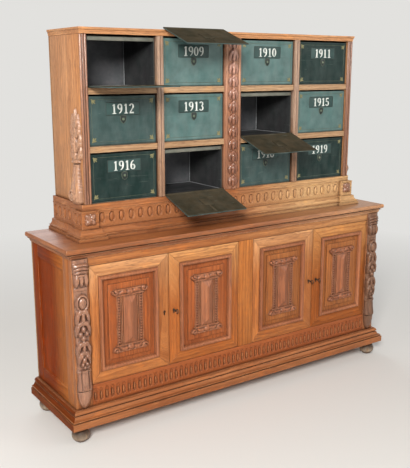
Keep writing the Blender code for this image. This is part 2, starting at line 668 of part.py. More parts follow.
def build_shelves(partitions):
    half = HALF_RACK - GAP
    for number, name in enumerate(("lower", "upper"), 1):
        top = RACK_FLOOR + number * ROW_PITCH
        level = (top - SHELF_THICKNESS, top)
        board = block((-half, half), (RACK_FRONT, BACK_FACE - GAP), level)
        shelf = part(f"rack_shelf_{name}", board, "oak_light")
        slot = POST_WIDTH / 2 + GAP
        tall = (level[0] - CUT_MARGIN, level[1] + CUT_MARGIN)
        for x in (-POST_X, 0, POST_X):
            cut(shelf, block((x - slot, x + slot), (RACK_FRONT - CUT_MARGIN, HALVING), tall))
        stile = CENTRE_POST_WIDTH / 2 + GAP
        stile_back = POST_FRONT + CENTRE_POST_DEPTH + GAP
        cut(shelf, block((-stile, stile), (RACK_FRONT - CUT_MARGIN, stile_back), tall))
        for partition in partitions:
            notch = (level[0] - GAP, level[1] + GAP)
            cut(partition, block((-FAR, FAR), (HALVING - GAP, BACK), notch))


# Deed boxes
def box_mesh():
    """A tin body with an open front and a lip under the flap. Its origin is under the hinge, on the shelf."""
    half = BOX_WIDTH / 2
    deep = BACK_FACE - BOX_BACK_GAP - HINGE_Y
    rim = FLAP_THICKNESS + GAP
    floor = HINGE_RISE - GAP
    box = part("box_pattern", block((-half, half), (0, deep), (GAP, BOX_HEIGHT)), "green_tin")
    cut(box, block((-FAR, FAR), (-CUT_MARGIN, rim), (floor, FAR)))
    cut(box, block((-half + TIN, half - TIN), (-CUT_MARGIN, deep - TIN), (floor, BOX_HEIGHT - TIN)))
    return freeze(box)


def flap_mesh():
    """A shut flap: a shallow tray, with a label frame and a lock outside. Its origin is on the hinge."""
    half = BOX_WIDTH / 2
    flap = part("flap_pattern", block((-half, half), (0, FLAP_THICKNESS), (0, FLAP_LENGTH)), "green_tin")
    inside = (TIN, FLAP_THICKNESS + CUT_MARGIN)
    edge = half - FLAP_BORDER
    cut(flap, block((-edge, edge), inside, (FLAP_BORDER, FLAP_LENGTH - FLAP_BORDER)))
    label_z = FLAP_LENGTH - LABEL_DROP
    root = TIN / 2
    label = block((-LABEL_WIDTH / 2, LABEL_WIDTH / 2), (-LABEL_RELIEF, root),
                  (label_z - LABEL_HEIGHT / 2, label_z + LABEL_HEIGHT / 2))
    add(flap, label)
    wide, tall = LABEL_WIDTH / 2 - LABEL_BAR, LABEL_HEIGHT / 2 - LABEL_BAR
    cut(flap, block((-wide, wide), (-LABEL_RELIEF - CUT_MARGIN, 0), (label_z - tall, label_z + tall)))
    add(flap, cylinder_y((0, FLAP_LENGTH - LOCK_DROP), LOCK_RADIUS, (-LOCK_RELIEF, root), 8))
    return freeze(flap)


def build_boxes():
    """Three boxes and the leaf on the top board stand open: one flap is level, the others rest on a rail."""
    level, resting = math.pi / 2, math.pi / 2 + FLAP_DROOP
    open_flaps = {(1, 1): level, (2, 3): resting, (3, 2): resting}
    body, flap = box_mesh(), flap_mesh()
    for row in range(1, ROWS + 1):
        shelf = RACK_FLOOR + (ROWS - row) * ROW_PITCH
        for column, x in enumerate(COLUMN_X, 1):
            spot = f"r{row}c{column}"
            box = place_mesh(f"box_{spot}", body, "green_tin", (x, HINGE_Y, shelf))
            front = place_mesh(f"flap_{spot}", flap, "green_tin", (x, HINGE_Y, shelf + HINGE_RISE), box)
            front.rotation_euler.x = open_flaps.get((row, column), 0.0)
    recess = HINGE_Y - (POST_FRONT - RACK_TOP_OVERHANG)
    rise = recess * math.tan(FLAP_DROOP) + GAP / math.cos(FLAP_DROOP)
    leaf = place_mesh("top_flap", flap, "green_tin", (COLUMN_X[1], HINGE_Y, RACK_TOP + rise))
    leaf.rotation_euler.x = resting


build_base_boards()
build_feet()
build_face_frame()
build_pilasters()
build_doors()
build_rack_plinth()
build_rack_boards()
build_boxes()
bpy.context.view_layer.update()
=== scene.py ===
# Dressing for a carved oak notary cabinet with drop-front tin boxes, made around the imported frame.
import json
import math
import random

import bmesh
import bpy
import numpy as np
from mathutils import Matrix, Vector

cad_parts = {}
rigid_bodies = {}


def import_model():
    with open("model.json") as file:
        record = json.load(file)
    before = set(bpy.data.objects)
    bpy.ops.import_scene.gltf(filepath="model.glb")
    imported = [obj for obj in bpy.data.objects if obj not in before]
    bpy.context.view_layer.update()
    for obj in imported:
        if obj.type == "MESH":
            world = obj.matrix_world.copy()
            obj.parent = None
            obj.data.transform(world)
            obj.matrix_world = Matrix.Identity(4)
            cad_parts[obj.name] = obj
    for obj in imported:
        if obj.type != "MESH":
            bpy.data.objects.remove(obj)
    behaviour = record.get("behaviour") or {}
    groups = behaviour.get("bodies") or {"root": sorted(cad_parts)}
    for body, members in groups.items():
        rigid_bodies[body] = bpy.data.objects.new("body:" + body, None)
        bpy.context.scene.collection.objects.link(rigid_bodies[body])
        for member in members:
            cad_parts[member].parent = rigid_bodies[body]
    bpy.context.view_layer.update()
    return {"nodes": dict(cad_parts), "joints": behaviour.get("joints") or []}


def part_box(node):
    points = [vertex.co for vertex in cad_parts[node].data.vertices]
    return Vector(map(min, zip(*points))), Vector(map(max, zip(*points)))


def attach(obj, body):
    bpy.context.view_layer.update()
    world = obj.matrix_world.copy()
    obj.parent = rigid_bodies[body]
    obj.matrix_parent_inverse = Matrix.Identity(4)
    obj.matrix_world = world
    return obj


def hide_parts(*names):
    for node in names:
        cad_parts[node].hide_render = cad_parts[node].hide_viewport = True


for leftover in list(bpy.data.objects):
    bpy.data.objects.remove(leftover)
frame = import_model()
nodes = frame["nodes"]
scene = bpy.context.scene
random.seed(11)
print("frame loaded:", len(nodes), "nodes")


# Camera, light and floor
cameraLook = {"place": (-2.2012, -3.0036, 1.6663), "down": 12.754, "aside": 34.647, "lens": 55.686,
              "sensor": 36}
stageLook = {"pale": (226, 225, 222), "floorSize": 60.0, "fadeFrom": 1.7, "fadeTo": 4.2, "ambient": 0.30,
             "lampAim": (0, 0, 0.85)}
lamps = {
    "keyLamp": {"place": (-4.3, -4.95, 3.9), "size": 1.8, "power": 610, "colour": (1.0, 0.97, 0.93)},
    "leftLamp": {"place": (-4.8, -1.2, 2.6), "size": 2.4, "power": 8, "colour": (1.0, 0.98, 0.96)},
    "rightLamp": {"place": (3.4, -4.6, 3.2), "size": 2.4, "power": 60, "colour": (1.0, 0.98, 0.95)},
    "rearLamp": {"place": (1.0, 4.6, 3.6), "size": 3.0, "power": 70, "colour": (1.0, 1.0, 1.0)},
}


def rgb(red, green, blue):  # screen colour, 0 to 255, to a linear one
    shares = [c / 255 for c in (red, green, blue)]
    return tuple(s / 12.92 if s <= 0.04045 else ((s + 0.055) / 1.055) ** 2.4 for s in shares) + (1.0,)


def put(tree, kind, inputs=None, **settings):  # one shader node, its sockets set or linked
    node = tree.nodes.new("ShaderNode" + kind)
    for name, value in settings.items():
        setattr(node, name, value)
    for name, value in (inputs or {}).items():
        if isinstance(value, bpy.types.NodeSocket):
            tree.links.new(value, node.inputs[name])
        else:
            node.inputs[name].default_value = value
    return node


def blendColours(tree, share, first, second, how="MIX"):
    node = put(tree, "Mix", {0: share, 6: first, 7: second}, data_type="RGBA", blend_type=how)
    return node.outputs[2]


def calc(tree, operation, first, second=0.0, clamp=False):
    return put(tree, "Math", {0: first, 1: second}, operation=operation, use_clamp=clamp).outputs[0]


def spread(tree, value, low, high, toLow=0.0, toHigh=1.0):
    limits = {"Value": value, "From Min": low, "From Max": high, "To Min": toLow, "To Max": toHigh}
    return put(tree, "MapRange", limits).outputs[0]


def seenDirectly(tree):  # camera, glossy and transmission rays all see the pale background
    path = put(tree, "LightPath").outputs
    return calc(tree, "MAXIMUM", calc(tree, "MAXIMUM", path["Is Camera Ray"], path["Is Glossy Ray"]),
                path["Is Transmission Ray"])


def makeCamera():
    data = bpy.data.cameras.new("photoCamera")
    data.sensor_fit = "VERTICAL"
    data.sensor_height = cameraLook["sensor"]
    data.lens = cameraLook["lens"]
    camera = bpy.data.objects.new("photoCamera", data)
    camera.location = cameraLook["place"]
    camera.rotation_euler = (math.radians(90 - cameraLook["down"]), 0, math.radians(-cameraLook["aside"]))
    scene.collection.objects.link(camera)
    scene.camera = camera


def makeLamps():
    aim = Vector(stageLook["lampAim"])
    for name, look in lamps.items():
        data = bpy.data.lights.new(name, "AREA")
        data.size = look["size"]
        data.energy = look["power"]
        data.color = look["colour"]
        lamp = bpy.data.objects.new(name, data)
        lamp.location = look["place"]
        lamp.rotation_euler = (aim - lamp.location).to_track_quat("-Z", "Y").to_euler()
        scene.collection.objects.link(lamp)


def makeStage():
    pale = rgb(*stageLook["pale"])
    world = bpy.data.worlds.new("studio")
    scene.world = world
    world.use_nodes = True
    tree = world.node_tree
    tree.nodes.clear()
    shown = put(tree, "Background", {"Color": pale, "Strength": 1.0})
    ambient = put(tree, "Background", {"Color": (1, 1, 1, 1), "Strength": stageLook["ambient"]})
    mix = put(tree, "MixShader", {0: seenDirectly(tree), 1: ambient.outputs[0], 2: shown.outputs[0]})
    put(tree, "OutputWorld", {"Surface": mix.outputs[0]})

    # The floor keeps the shadow close by and fades into the background colour further off
    material = bpy.data.materials.new("paleFloor")
    material.use_nodes = True
    tree = material.node_tree
    tree.nodes.clear()
    diffuse = put(tree, "BsdfDiffuse", {"Color": pale})
    glow = put(tree, "Emission", {"Color": pale, "Strength": 1.0})
    place = put(tree, "NewGeometry").outputs["Position"]
    away = put(tree, "VectorMath", {0: place}, operation="LENGTH").outputs["Value"]
    fade = spread(tree, away, stageLook["fadeFrom"], stageLook["fadeTo"])
    share = calc(tree, "MULTIPLY", fade, seenDirectly(tree))
    mix = put(tree, "MixShader", {0: share, 1: diffuse.outputs[0], 2: glow.outputs[0]})
    put(tree, "OutputMaterial", {"Surface": mix.outputs[0]})
    shape = bmesh.new()
    bmesh.ops.create_grid(shape, x_segments=1, y_segments=1, size=stageLook["floorSize"] / 2)
    mesh = bpy.data.meshes.new("paleFloor")
    shape.to_mesh(mesh)
    shape.free()
    mesh.materials.append(material)
    floor = bpy.data.objects.new("paleFloor", mesh)
    scene.collection.objects.link(floor)


scene.view_settings.view_transform = "Standard"
makeCamera()
makeLamps()
makeStage()
print("camera, lamps and floor ready")


# Shared effects, one node group each
def makeGroup(name, inputs, outputs):
    group = bpy.data.node_groups.new(name, "ShaderNodeTree")
    for title, kind, value in inputs:
        socket = group.interface.new_socket(title, in_out="INPUT", socket_type="NodeSocket" + kind)
        if value is not None:
            socket.default_value = value
    for title, kind in outputs:
        group.interface.new_socket(title, in_out="OUTPUT", socket_type="NodeSocket" + kind)
    return group, group.nodes.new("NodeGroupInput").outputs, group.nodes.new("NodeGroupOutput").inputs


def deliver(group, sockets, results):
    for name, value in results.items():
        group.links.new(value, sockets[name])


def stretched(tree, vector, factors):
    return put(tree, "VectorMath", {0: vector, 1: factors}, operation="MULTIPLY").outputs[0]


def noise(tree, vector, scale, detail=2.0, roughness=0.55, distortion=0.0):
    inputs = {"Vector": vector, "Scale": scale, "Detail": detail, "Roughness": roughness,
              "Distortion": distortion}
    return put(tree, "TexNoise", inputs).outputs[0]


def layer(tree, coord, look):  # noise of the given scale, detail, roughness and distortion, drawn out
    return noise(tree, stretched(tree, coord, look["stretch"]), *look["noise"])


def limited(tree, value, look):
    return spread(tree, value, *look["limits"])


# Layers of the grain, drawn out along and across the fibres, and the tints laid over them
grainLook = {
    "tone": {"stretch": (1.2, 9, 9), "noise": (1.0, 3.0), "limits": (0.3, 0.7, 0.22, 0.88)},
    "patch": {"stretch": (1.0, 2.2, 2.2), "noise": (2.0, 2.0), "limits": (0.35, 0.65)},
    "fibre": {"stretch": (5, 170, 170), "noise": (1.0, 3.0, 0.65), "limits": (0.3, 0.7, 0.55, 1.12)},
    "pore": {"stretch": (26, 560, 560), "noise": (1.0, 1.0), "limits": (0.56, 0.68)},
    "ray": {"stretch": (11, 70, 26), "noise": (1.0, 1.0), "limits": (0.6, 0.7)},
    "ring": {"stretch": (0.16, 1, 1), "limits": (0.35, 1.0)},
    "ringWave": {"Scale": 21.0, "Distortion": 5.5, "Detail": 2.0, "Detail Scale": 1.4},
    "patchShare": 0.45, "streakShare": 0.55, "fibreHeight": 0.5, "ringTint": (0.45, 0.33, 0.26, 1),
    "rayTint": (0.86, 0.66, 0.45, 1), "poreTint": (0.10, 0.05, 0.03, 1),
}


def makeOakGrain():
    # Coord runs along the fibres in its X
    inputs = [("Coord", "Vector", None), ("Pale", "Color", (0.6, 0.3, 0.14, 1)),
              ("Deep", "Color", (0.3, 0.12, 0.05, 1)), ("Rings", "Float", 0.5), ("Pores", "Float", 0.5),
              ("Figure", "Float", 0.3)]
    outputs = [("Color", "Color"), ("Height", "Float"), ("Gloss", "Float")]
    group, given, result = makeGroup("oakGrain", inputs, outputs)
    look, coord = grainLook, given["Coord"]
    tone = limited(group, layer(group, coord, look["tone"]), look["tone"])
    patch = limited(group, layer(group, coord, look["patch"]), look["patch"])
    fibre = layer(group, coord, look["fibre"])
    pores = limited(group, layer(group, coord, look["pore"]), look["pore"])
    pores = calc(group, "MULTIPLY", pores, given["Pores"])
    place = stretched(group, coord, look["ring"]["stretch"])
    wave = put(group, "TexWave", {"Vector": place, **look["ringWave"]},
               wave_type="RINGS", rings_direction="X", wave_profile="SAW")
    rings = calc(group, "MULTIPLY", limited(group, wave.outputs[1], look["ring"]), given["Rings"])
    ray = limited(group, layer(group, coord, look["ray"]), look["ray"])
    figure = calc(group, "MULTIPLY", ray, given["Figure"])
    colour = blendColours(group, tone, given["Deep"], given["Pale"])
    patched = spread(group, patch, 0.0, 1.0, 0.0, look["patchShare"])
    colour = blendColours(group, patched, colour, given["Deep"])
    colour = blendColours(group, rings, colour, look["ringTint"], "MULTIPLY")
    streak = limited(group, fibre, look["fibre"])
    colour = blendColours(group, look["streakShare"], colour, streak, "MULTIPLY")
    colour = blendColours(group, figure, colour, look["rayTint"], "SOFT_LIGHT")
    colour = blendColours(group, pores, colour, look["poreTint"])
    height = calc(group, "SUBTRACT", calc(group, "MULTIPLY", fibre, look["fibreHeight"]), pores)
    deliver(group, result, {"Color": colour, "Height": height, "Gloss": tone})
    return group


# Wear and painted light: how sharp an edge is rubbed and given a painted highlight, how open it lies, and
# how deep a recess holds dirt and painted shade
wearShadeLook = {"rub": {"stretch": (1, 1, 1), "noise": (28.0, 3.0), "limits": (0.38, 0.6)},
            "edge": (0.995, 0.86), "open": (0.45, 0.8), "recess": (0.86, 0.3),
            "bevelSamples": 4, "shadeSamples": 5}


def makeWearShadeAndHighlight():
    inputs = [("Radius", "Float", 0.0015), ("Reach", "Float", 0.03)]
    outputs = [("Edge", "Float"), ("Recess", "Float"), ("Normal", "Vector")]
    group, given, result = makeGroup("wearShadeAndHighlight", inputs, outputs)
    look = wearShadeLook
    rounded = put(group, "Bevel", {"Radius": given["Radius"]}, samples=look["bevelSamples"]).outputs[0]
    geometry = put(group, "NewGeometry").outputs
    flat = put(group, "VectorMath", {0: rounded, 1: geometry["Normal"]}, operation="DOT_PRODUCT")
    # Ambient occlusion darkens recesses: painted shade, laid with the dirt; edges in the open turn pale:
    # wear and a painted highlight
    shade = put(group, "AmbientOcclusion", {"Distance": given["Reach"]}, samples=look["shadeSamples"])
    shade = shade.outputs["AO"]
    rub = limited(group, layer(group, geometry["Position"], look["rub"]), look["rub"])
    edge = calc(group, "MULTIPLY", spread(group, flat.outputs["Value"], *look["edge"]), rub)
    edge = calc(group, "MULTIPLY", edge, spread(group, shade, *look["open"]))
    recess = spread(group, shade, *look["recess"])
    deliver(group, result, {"Edge": edge, "Recess": recess, "Normal": rounded})
    return group


# Old brushed paint: blotches, runs, fine scratches and bare spots
paintLook = {
    "blotch": {"stretch": (1, 1, 1), "noise": (14.0, 4.0, 0.6), "limits": (0.3, 0.7)},
    "runs": {"stretch": (26, 26, 11), "noise": (1.0, 4.0), "limits": (0.35, 0.75)},
    "scratch": {"stretch": (9, 9, 300), "noise": (1.0, 2.0, 0.5, 1.2), "limits": (0.69, 0.73)},
    "spots": {"stretch": (1, 1, 1), "noise": (95.0, 2.0)},
    "skin": {"stretch": (1, 1, 1), "noise": (210.0, 2.0)},
    "chip": (0.42, 0.56), "speck": (0.73, 0.76), "speckShare": 0.8, "scratchShare": 0.22, "skinShare": 0.3,
    "rough": (0.34, 0.5), "blotchTint": (0.5, 0.58, 0.58, 1), "dustTint": (0.16, 0.19, 0.18, 1),
    "scratchTint": (0.24, 0.28, 0.26, 1), "bareTint": (0.07, 0.05, 0.04, 1),
}


def makeTinPaint():
    inputs = [("Coord", "Vector", None), ("Paint", "Color", (0.07, 0.12, 0.11, 1)), ("Edge", "Float", 0.0),
              ("Chips", "Float", 0.6), ("Dust", "Float", 0.3)]
    outputs = [("Color", "Color"), ("Roughness", "Float"), ("Height", "Float")]
    group, given, result = makeGroup("tinPaint", inputs, outputs)
    look, coord = paintLook, given["Coord"]
    blotch = limited(group, layer(group, coord, look["blotch"]), look["blotch"])
    runs = limited(group, layer(group, coord, look["runs"]), look["runs"])
    lines = limited(group, layer(group, coord, look["scratch"]), look["scratch"])
    spots = layer(group, coord, look["spots"])
    chip = calc(group, "MULTIPLY", given["Edge"], spread(group, spots, *look["chip"]))
    speck = calc(group, "MULTIPLY", spread(group, spots, *look["speck"]), look["speckShare"])
    bare = calc(group, "MULTIPLY", calc(group, "MAXIMUM", chip, speck), given["Chips"], True)
    colour = blendColours(group, blotch, given["Paint"], look["blotchTint"], "MULTIPLY")
    dust = calc(group, "MULTIPLY", runs, given["Dust"])
    colour = blendColours(group, dust, colour, look["dustTint"])
    scratched = calc(group, "MULTIPLY", lines, look["scratchShare"])
    colour = blendColours(group, scratched, colour, look["scratchTint"])
    colour = blendColours(group, bare, colour, look["bareTint"])
    rough = spread(group, blotch, 0.0, 1.0, *look["rough"])
    skin = calc(group, "MULTIPLY", layer(group, coord, look["skin"]), look["skinShare"])
    height = calc(group, "SUBTRACT", skin, bare)
    deliver(group, result, {"Color": colour, "Roughness": rough, "Height": height})
    return group


oakGrain = makeOakGrain()
wearShadeAndHighlight = makeWearShadeAndHighlight()
tinPaint = makeTinPaint()
print("shader groups ready")


def oakTone(pale, deep, dirtAndShade=0.85, wearAndPaintedLight=0.3, rough=0.45, shine=0.25):
    return {"pale": pale, "deep": deep, "dirtAndShade": dirtAndShade, "wearAndPaintedLight": wearAndPaintedLight, "rough": rough, "shine": shine}


# Oak finishes: pale and deep tone of the grain, dirt and painted shade in the hollows, wear and a painted
# highlight on the edges
oakFinishes = {
    "goldenOak": oakTone((202, 128, 64), (148, 78, 30), rough=0.44, shine=0.22),
    "paleOak": oakTone((224, 168, 120), (182, 122, 76), dirtAndShade=0.8, rough=0.46),
    "warmOak": oakTone((192, 126, 78), (142, 80, 42), dirtAndShade=0.9, wearAndPaintedLight=0.45, rough=0.44),
    "redOak": oakTone((188, 108, 58), (138, 66, 28), wearAndPaintedLight=0.35, rough=0.42, shine=0.22),
    "doorOak": oakTone((208, 134, 74), (156, 86, 38)),
    "emberOak": oakTone((200, 120, 58), (148, 76, 28), rough=0.44, shine=0.22),
    "umberOak": oakTone((182, 104, 46), (132, 66, 22), rough=0.44, shine=0.16),
    "amberOak": oakTone((190, 122, 68), (142, 80, 38), wearAndPaintedLight=0.35, rough=0.42, shine=0.22),
    "darkOak": oakTone((138, 68, 24), (96, 38, 8), wearAndPaintedLight=0.35, rough=0.46, shine=0.03),
    # Base sides: the wood's redder tone, made darker still as painted shade
    "sideOak": oakTone((154, 68, 16), (110, 38, 6), dirtAndShade=0.8, rough=0.46, shine=0.03),
    "mouldOak": oakTone((190, 124, 84), (142, 80, 48), dirtAndShade=0.95, wearAndPaintedLight=0.45, rough=0.34, shine=0.4),
    "railOak": oakTone((196, 130, 76), (148, 84, 42)),
    "plinthOak": oakTone((194, 130, 82), (146, 84, 46), dirtAndShade=0.9, wearAndPaintedLight=0.45, rough=0.44),
    "topOak": oakTone((182, 116, 70), (126, 70, 38), dirtAndShade=0.9, wearAndPaintedLight=0.85, rough=0.34, shine=0.4),
    "carvedOak": oakTone((182, 132, 102), (126, 80, 58), dirtAndShade=1.0, wearAndPaintedLight=0.7, rough=0.25, shine=0.8),
    # A darker copy of the carved finish: painted shade for the right pilaster
    "shadedCarvedOak": oakTone((152, 112, 86), (96, 64, 46), dirtAndShade=1.0, wearAndPaintedLight=0.5, rough=0.36, shine=0.4),
    "consoleOak": oakTone((210, 166, 134), (164, 116, 86), dirtAndShade=0.9, wearAndPaintedLight=0.7, rough=0.32, shine=0.5),
    "tabletOak": oakTone((182, 117, 80), (136, 78, 48), dirtAndShade=0.9, wearAndPaintedLight=0.55, rough=0.34, shine=0.4),
    "reedOak": oakTone((184, 148, 122), (140, 104, 80), dirtAndShade=0.9, wearAndPaintedLight=0.6, rough=0.34, shine=0.4),
    "plainOak": oakTone((190, 146, 100), (142, 98, 62), dirtAndShade=0.7, wearAndPaintedLight=0.2, rough=0.6),
    "greyOak": oakTone((206, 188, 164), (132, 114, 98), dirtAndShade=0.9, wearAndPaintedLight=0.6, rough=0.5),
    "shelfOak": oakTone((206, 172, 136), (166, 128, 92), dirtAndShade=0.8, rough=0.46),
    "huskOak": oakTone((178, 120, 90), (116, 66, 46), dirtAndShade=1.0, wearAndPaintedLight=0.7, rough=0.28, shine=0.8),
    "postOak": oakTone((198, 145, 116), (152, 99, 70), dirtAndShade=0.9, wearAndPaintedLight=0.45, rough=0.44),
}
# Where a finish changes along its piece: on which axis, from where to where, and its tones there; some runs
# are painted light, noted at each
toneAndLightRuns = {
    # Painted light: the base sides grow paler towards the front edge, a painted glow
    "sideOak": {"along": "Y", "from": 0.06, "to": -0.12, "pale": (200, 132, 70), "deep": (152, 84, 36)},
    "doorOak": {"along": "Z", "from": 0.64, "to": 0.84, "pale": (230, 176, 126), "deep": (188, 130, 82)},
    "emberOak": {"along": "Z", "from": 0.56, "to": 0.83, "pale": (226, 168, 108), "deep": (182, 118, 66)},
    "umberOak": {"along": "Z", "from": 0.52, "to": 0.84, "pale": (220, 160, 100), "deep": (174, 112, 60)},
    "topOak": {"along": "X", "from": 0.0, "to": 0.8, "pale": (224, 172, 128), "deep": (164, 110, 72)},
    "railOak": {"along": "X", "from": -0.1, "to": 0.6, "pale": (226, 172, 118), "deep": (184, 122, 72)},
    "plinthOak": {"along": "X", "from": 0.0, "to": 0.55, "pale": (236, 198, 146), "deep": (204, 156, 106)},
    "reedOak": {"along": "Z", "from": 1.2, "to": 1.42, "pale": (200, 170, 148), "deep": (154, 124, 104)},
    # Painted light: the centre post paler towards the top, lifting the shadow of the top leaf
    "huskOak": {"along": "Z", "from": 1.46, "to": 1.66, "pale": (232, 180, 158), "deep": (162, 106, 86)},
    "postOak": {"along": "Z", "from": 1.46, "to": 1.66, "pale": (226, 178, 150), "deep": (176, 122, 94)},
    # Painted shade: the feet darker towards the top, where the plinth shades them
    "greyOak": {"along": "Z", "from": 0.024, "to": 0.050, "pale": (104, 86, 72), "deep": (54, 43, 35)},
}
# The hollow colour gives dirt and painted shade; the edge colour gives wear and a painted highlight
oakShared = {"edgeRadius": 0.0018, "recessReach": 0.028, "bumpDepth": 0.0005, "rings": 0.5, "pores": 0.6,
             "figure": 0.4, "dirtAndShadeColour": (66, 34, 20), "wearAndHighlightColour": (230, 190, 150), "dull": 0.1,
             "polish": 0.05, "dirtAndShadeDull": 0.25}
axisOrder = {"X": (0, 1, 2), "Y": (1, 0, 2), "Z": (2, 0, 1)}
bumpStrength = 0.6


def startMaterial(name):
    material = bpy.data.materials.new(name)
    material.use_nodes = True
    tree = material.node_tree
    return material, tree, tree.nodes["Principled BSDF"]


def placeGroup(tree, group, inputs):
    return put(tree, "Group", inputs, node_tree=group).outputs


def ownPlace(tree):  # object coordinates, plain and moved by each shell's own shift
    place = put(tree, "TexCoord").outputs["Object"]
    shift = put(tree, "Attribute", attribute_name="grainShift").outputs["Vector"]
    return place, put(tree, "VectorMath", {0: place, 1: shift}, operation="ADD").outputs[0]


def bump(tree, shader, height, depth, normal):
    inputs = {"Height": height, "Strength": bumpStrength, "Distance": depth, "Normal": normal}
    tree.links.new(put(tree, "Bump", inputs).outputs[0], shader.inputs["Normal"])


def oak(finish, axis):
    name = finish + axis
    if name in bpy.data.materials:
        return bpy.data.materials[name]
    look, shared = oakFinishes[finish], oakShared
    material, tree, shader = startMaterial(name)
    place, moved = ownPlace(tree)
    parts = put(tree, "SeparateXYZ", {0: moved}).outputs
    turned = put(tree, "CombineXYZ", {i: parts[source] for i, source in enumerate(axisOrder[axis])})
    tones = {"Pale": rgb(*look["pale"]), "Deep": rgb(*look["deep"])}
    if finish in toneAndLightRuns:
        gradient = toneAndLightRuns[finish]
        level = put(tree, "SeparateXYZ", {0: place}).outputs[gradient["along"]]
        mask = spread(tree, level, gradient["from"], gradient["to"])
        tones = {tone: blendColours(tree, mask, tones[tone], rgb(*gradient[tone.lower()])) for tone in tones}
    grain = placeGroup(tree, oakGrain, {"Coord": turned.outputs[0], "Rings": shared["rings"],
                                        "Pores": shared["pores"], "Figure": shared["figure"], **tones})
    wearAndPaintedLight = placeGroup(tree, wearShadeAndHighlight, {"Radius": shared["edgeRadius"], "Reach": shared["recessReach"]})
    # Hollows take the dark colour, as dirt and painted shade; rubbed edges take the pale colour, as wear and
    # a painted highlight
    carved = put(tree, "Attribute", attribute_name="recess").outputs["Fac"]
    hollow = calc(tree, "MAXIMUM", wearAndPaintedLight["Recess"], carved)
    dirtAndShade = calc(tree, "MULTIPLY", hollow, look["dirtAndShade"])
    rubbedAndLit = calc(tree, "MULTIPLY", wearAndPaintedLight["Edge"], look["wearAndPaintedLight"])
    colour = blendColours(tree, dirtAndShade, grain["Color"], rgb(*shared["dirtAndShadeColour"]))
    colour = blendColours(tree, rubbedAndLit, colour, rgb(*shared["wearAndHighlightColour"]))
    tree.links.new(colour, shader.inputs["Base Color"])
    dull, polished = look["rough"] + shared["dull"], look["rough"] - shared["polish"]
    rough = spread(tree, grain["Gloss"], 0.0, 1.0, dull, polished)
    rough = calc(tree, "ADD", rough, calc(tree, "MULTIPLY", dirtAndShade, shared["dirtAndShadeDull"]), True)
    tree.links.new(rough, shader.inputs["Roughness"])
    shader.inputs["Specular IOR Level"].default_value = look["shine"]
    bump(tree, shader, grain["Height"], shared["bumpDepth"], wearAndPaintedLight["Normal"])
    return material


# Tin, trim and iron
def tinTone(paint, chips, dust, shine, metallic=0.0):
    return {"paint": paint, "chips": chips, "dust": dust, "shine": shine, "metallic": metallic}


tinLook = {
    "greenTin": tinTone((49, 72, 70), chips=0.75, dust=0.25, shine=0.35),
    # The next two are darker and paler copies of the green front paint: painted shade and painted sheen
    "shadowedTin": tinTone((22, 44, 41), chips=0.75, dust=0.14, shine=0.2),
    "sheenLitTin": tinTone((82, 113, 110), chips=0.75, dust=0.35, shine=0.4),
    "boxTin": tinTone((40, 56, 53), chips=0.8, dust=0.12, shine=0.3),
    "darkTin": tinTone((80, 70, 55), chips=0.55, dust=0.08, shine=0.0),
    "innerTin": tinTone((58, 56, 58), chips=0.5, dust=0.12, shine=0.25, metallic=0.2),
    # The back sheet's paler copy of the inner tin: painted light
    "litRearTin": tinTone((114, 112, 116), chips=0.5, dust=0.12, shine=0.25, metallic=0.2),
    "labelTin": tinTone((46, 72, 69), chips=0.6, dust=0.12, shine=0.35),
    "giltPaint": tinTone((140, 132, 92), chips=0.95, dust=0.1, shine=0.3),
    "linePaint": tinTone((112, 122, 100), chips=0.9, dust=0.1, shine=0.3),
    "whitePaint": tinTone((236, 236, 230), chips=0.5, dust=0.05, shine=0.3),
    "solder": tinTone((176, 176, 180), chips=0.2, dust=0.1, shine=0.4, metallic=0.3),
    # The pale hem and lip stand in for the highlight along the box's mouth: painted highlight
    "highlitHemTin": tinTone((118, 115, 104), chips=0.4, dust=0.15, shine=0.3),
    "lockTin": tinTone((30, 40, 38), chips=0.5, dust=0.1, shine=0.4),
}
tinShared = {"edgeRadius": 0.0014, "recessReach": 0.02, "bumpDepth": 0.0003, "grimeAndShade": 0.6,
             "grimeAndShadeColour": (24, 24, 22)}
# Fronts given the painted sheen, then fronts given the painted shade
sheenLitFronts = ("flap_r1c2", "flap_r2c2", "flap_r1c3", "flap_r2c4")
shadowedFronts = ("flap_r3c1", "flap_r3c4", "flap_r1c4")
ironLook = {"pale": (92, 80, 70), "deep": (40, 34, 30), "rust": (104, 62, 38), "rustShare": 0.7,
            "mottle": {"stretch": (1, 1, 1), "noise": (160.0, 3.0), "limits": (0.3, 0.7)},
            "rustSpots": {"stretch": (1, 1, 1), "noise": (60.0, 3.0), "limits": (0.55, 0.7)},
            "rough": (0.55, 0.32), "metallic": (0.9, 0.2), "edgeRadius": 0.0008, "recessReach": 0.008,
            "bumpDepth": 0.0003}


def tin(name):
    if name in bpy.data.materials:
        return bpy.data.materials[name]
    look, shared = tinLook[name], tinShared
    material, tree, shader = startMaterial(name)
    _, moved = ownPlace(tree)
    wearAndPaintedLight = placeGroup(tree, wearShadeAndHighlight, {"Radius": shared["edgeRadius"], "Reach": shared["recessReach"]})
    paint = placeGroup(tree, tinPaint, {"Coord": moved, "Paint": rgb(*look["paint"]), "Edge": wearAndPaintedLight["Edge"],
                                        "Chips": look["chips"], "Dust": look["dust"]})
    # Recesses darkened: grime and painted shade
    grimeAndShade = calc(tree, "MULTIPLY", wearAndPaintedLight["Recess"], shared["grimeAndShade"])
    colour = blendColours(tree, grimeAndShade, paint["Color"], rgb(*shared["grimeAndShadeColour"]))
    tree.links.new(colour, shader.inputs["Base Color"])
    tree.links.new(paint["Roughness"], shader.inputs["Roughness"])
    shader.inputs["Metallic"].default_value = look["metallic"]
    shader.inputs["Specular IOR Level"].default_value = look["shine"]
    bump(tree, shader, paint["Height"], shared["bumpDepth"], wearAndPaintedLight["Normal"])
    return material


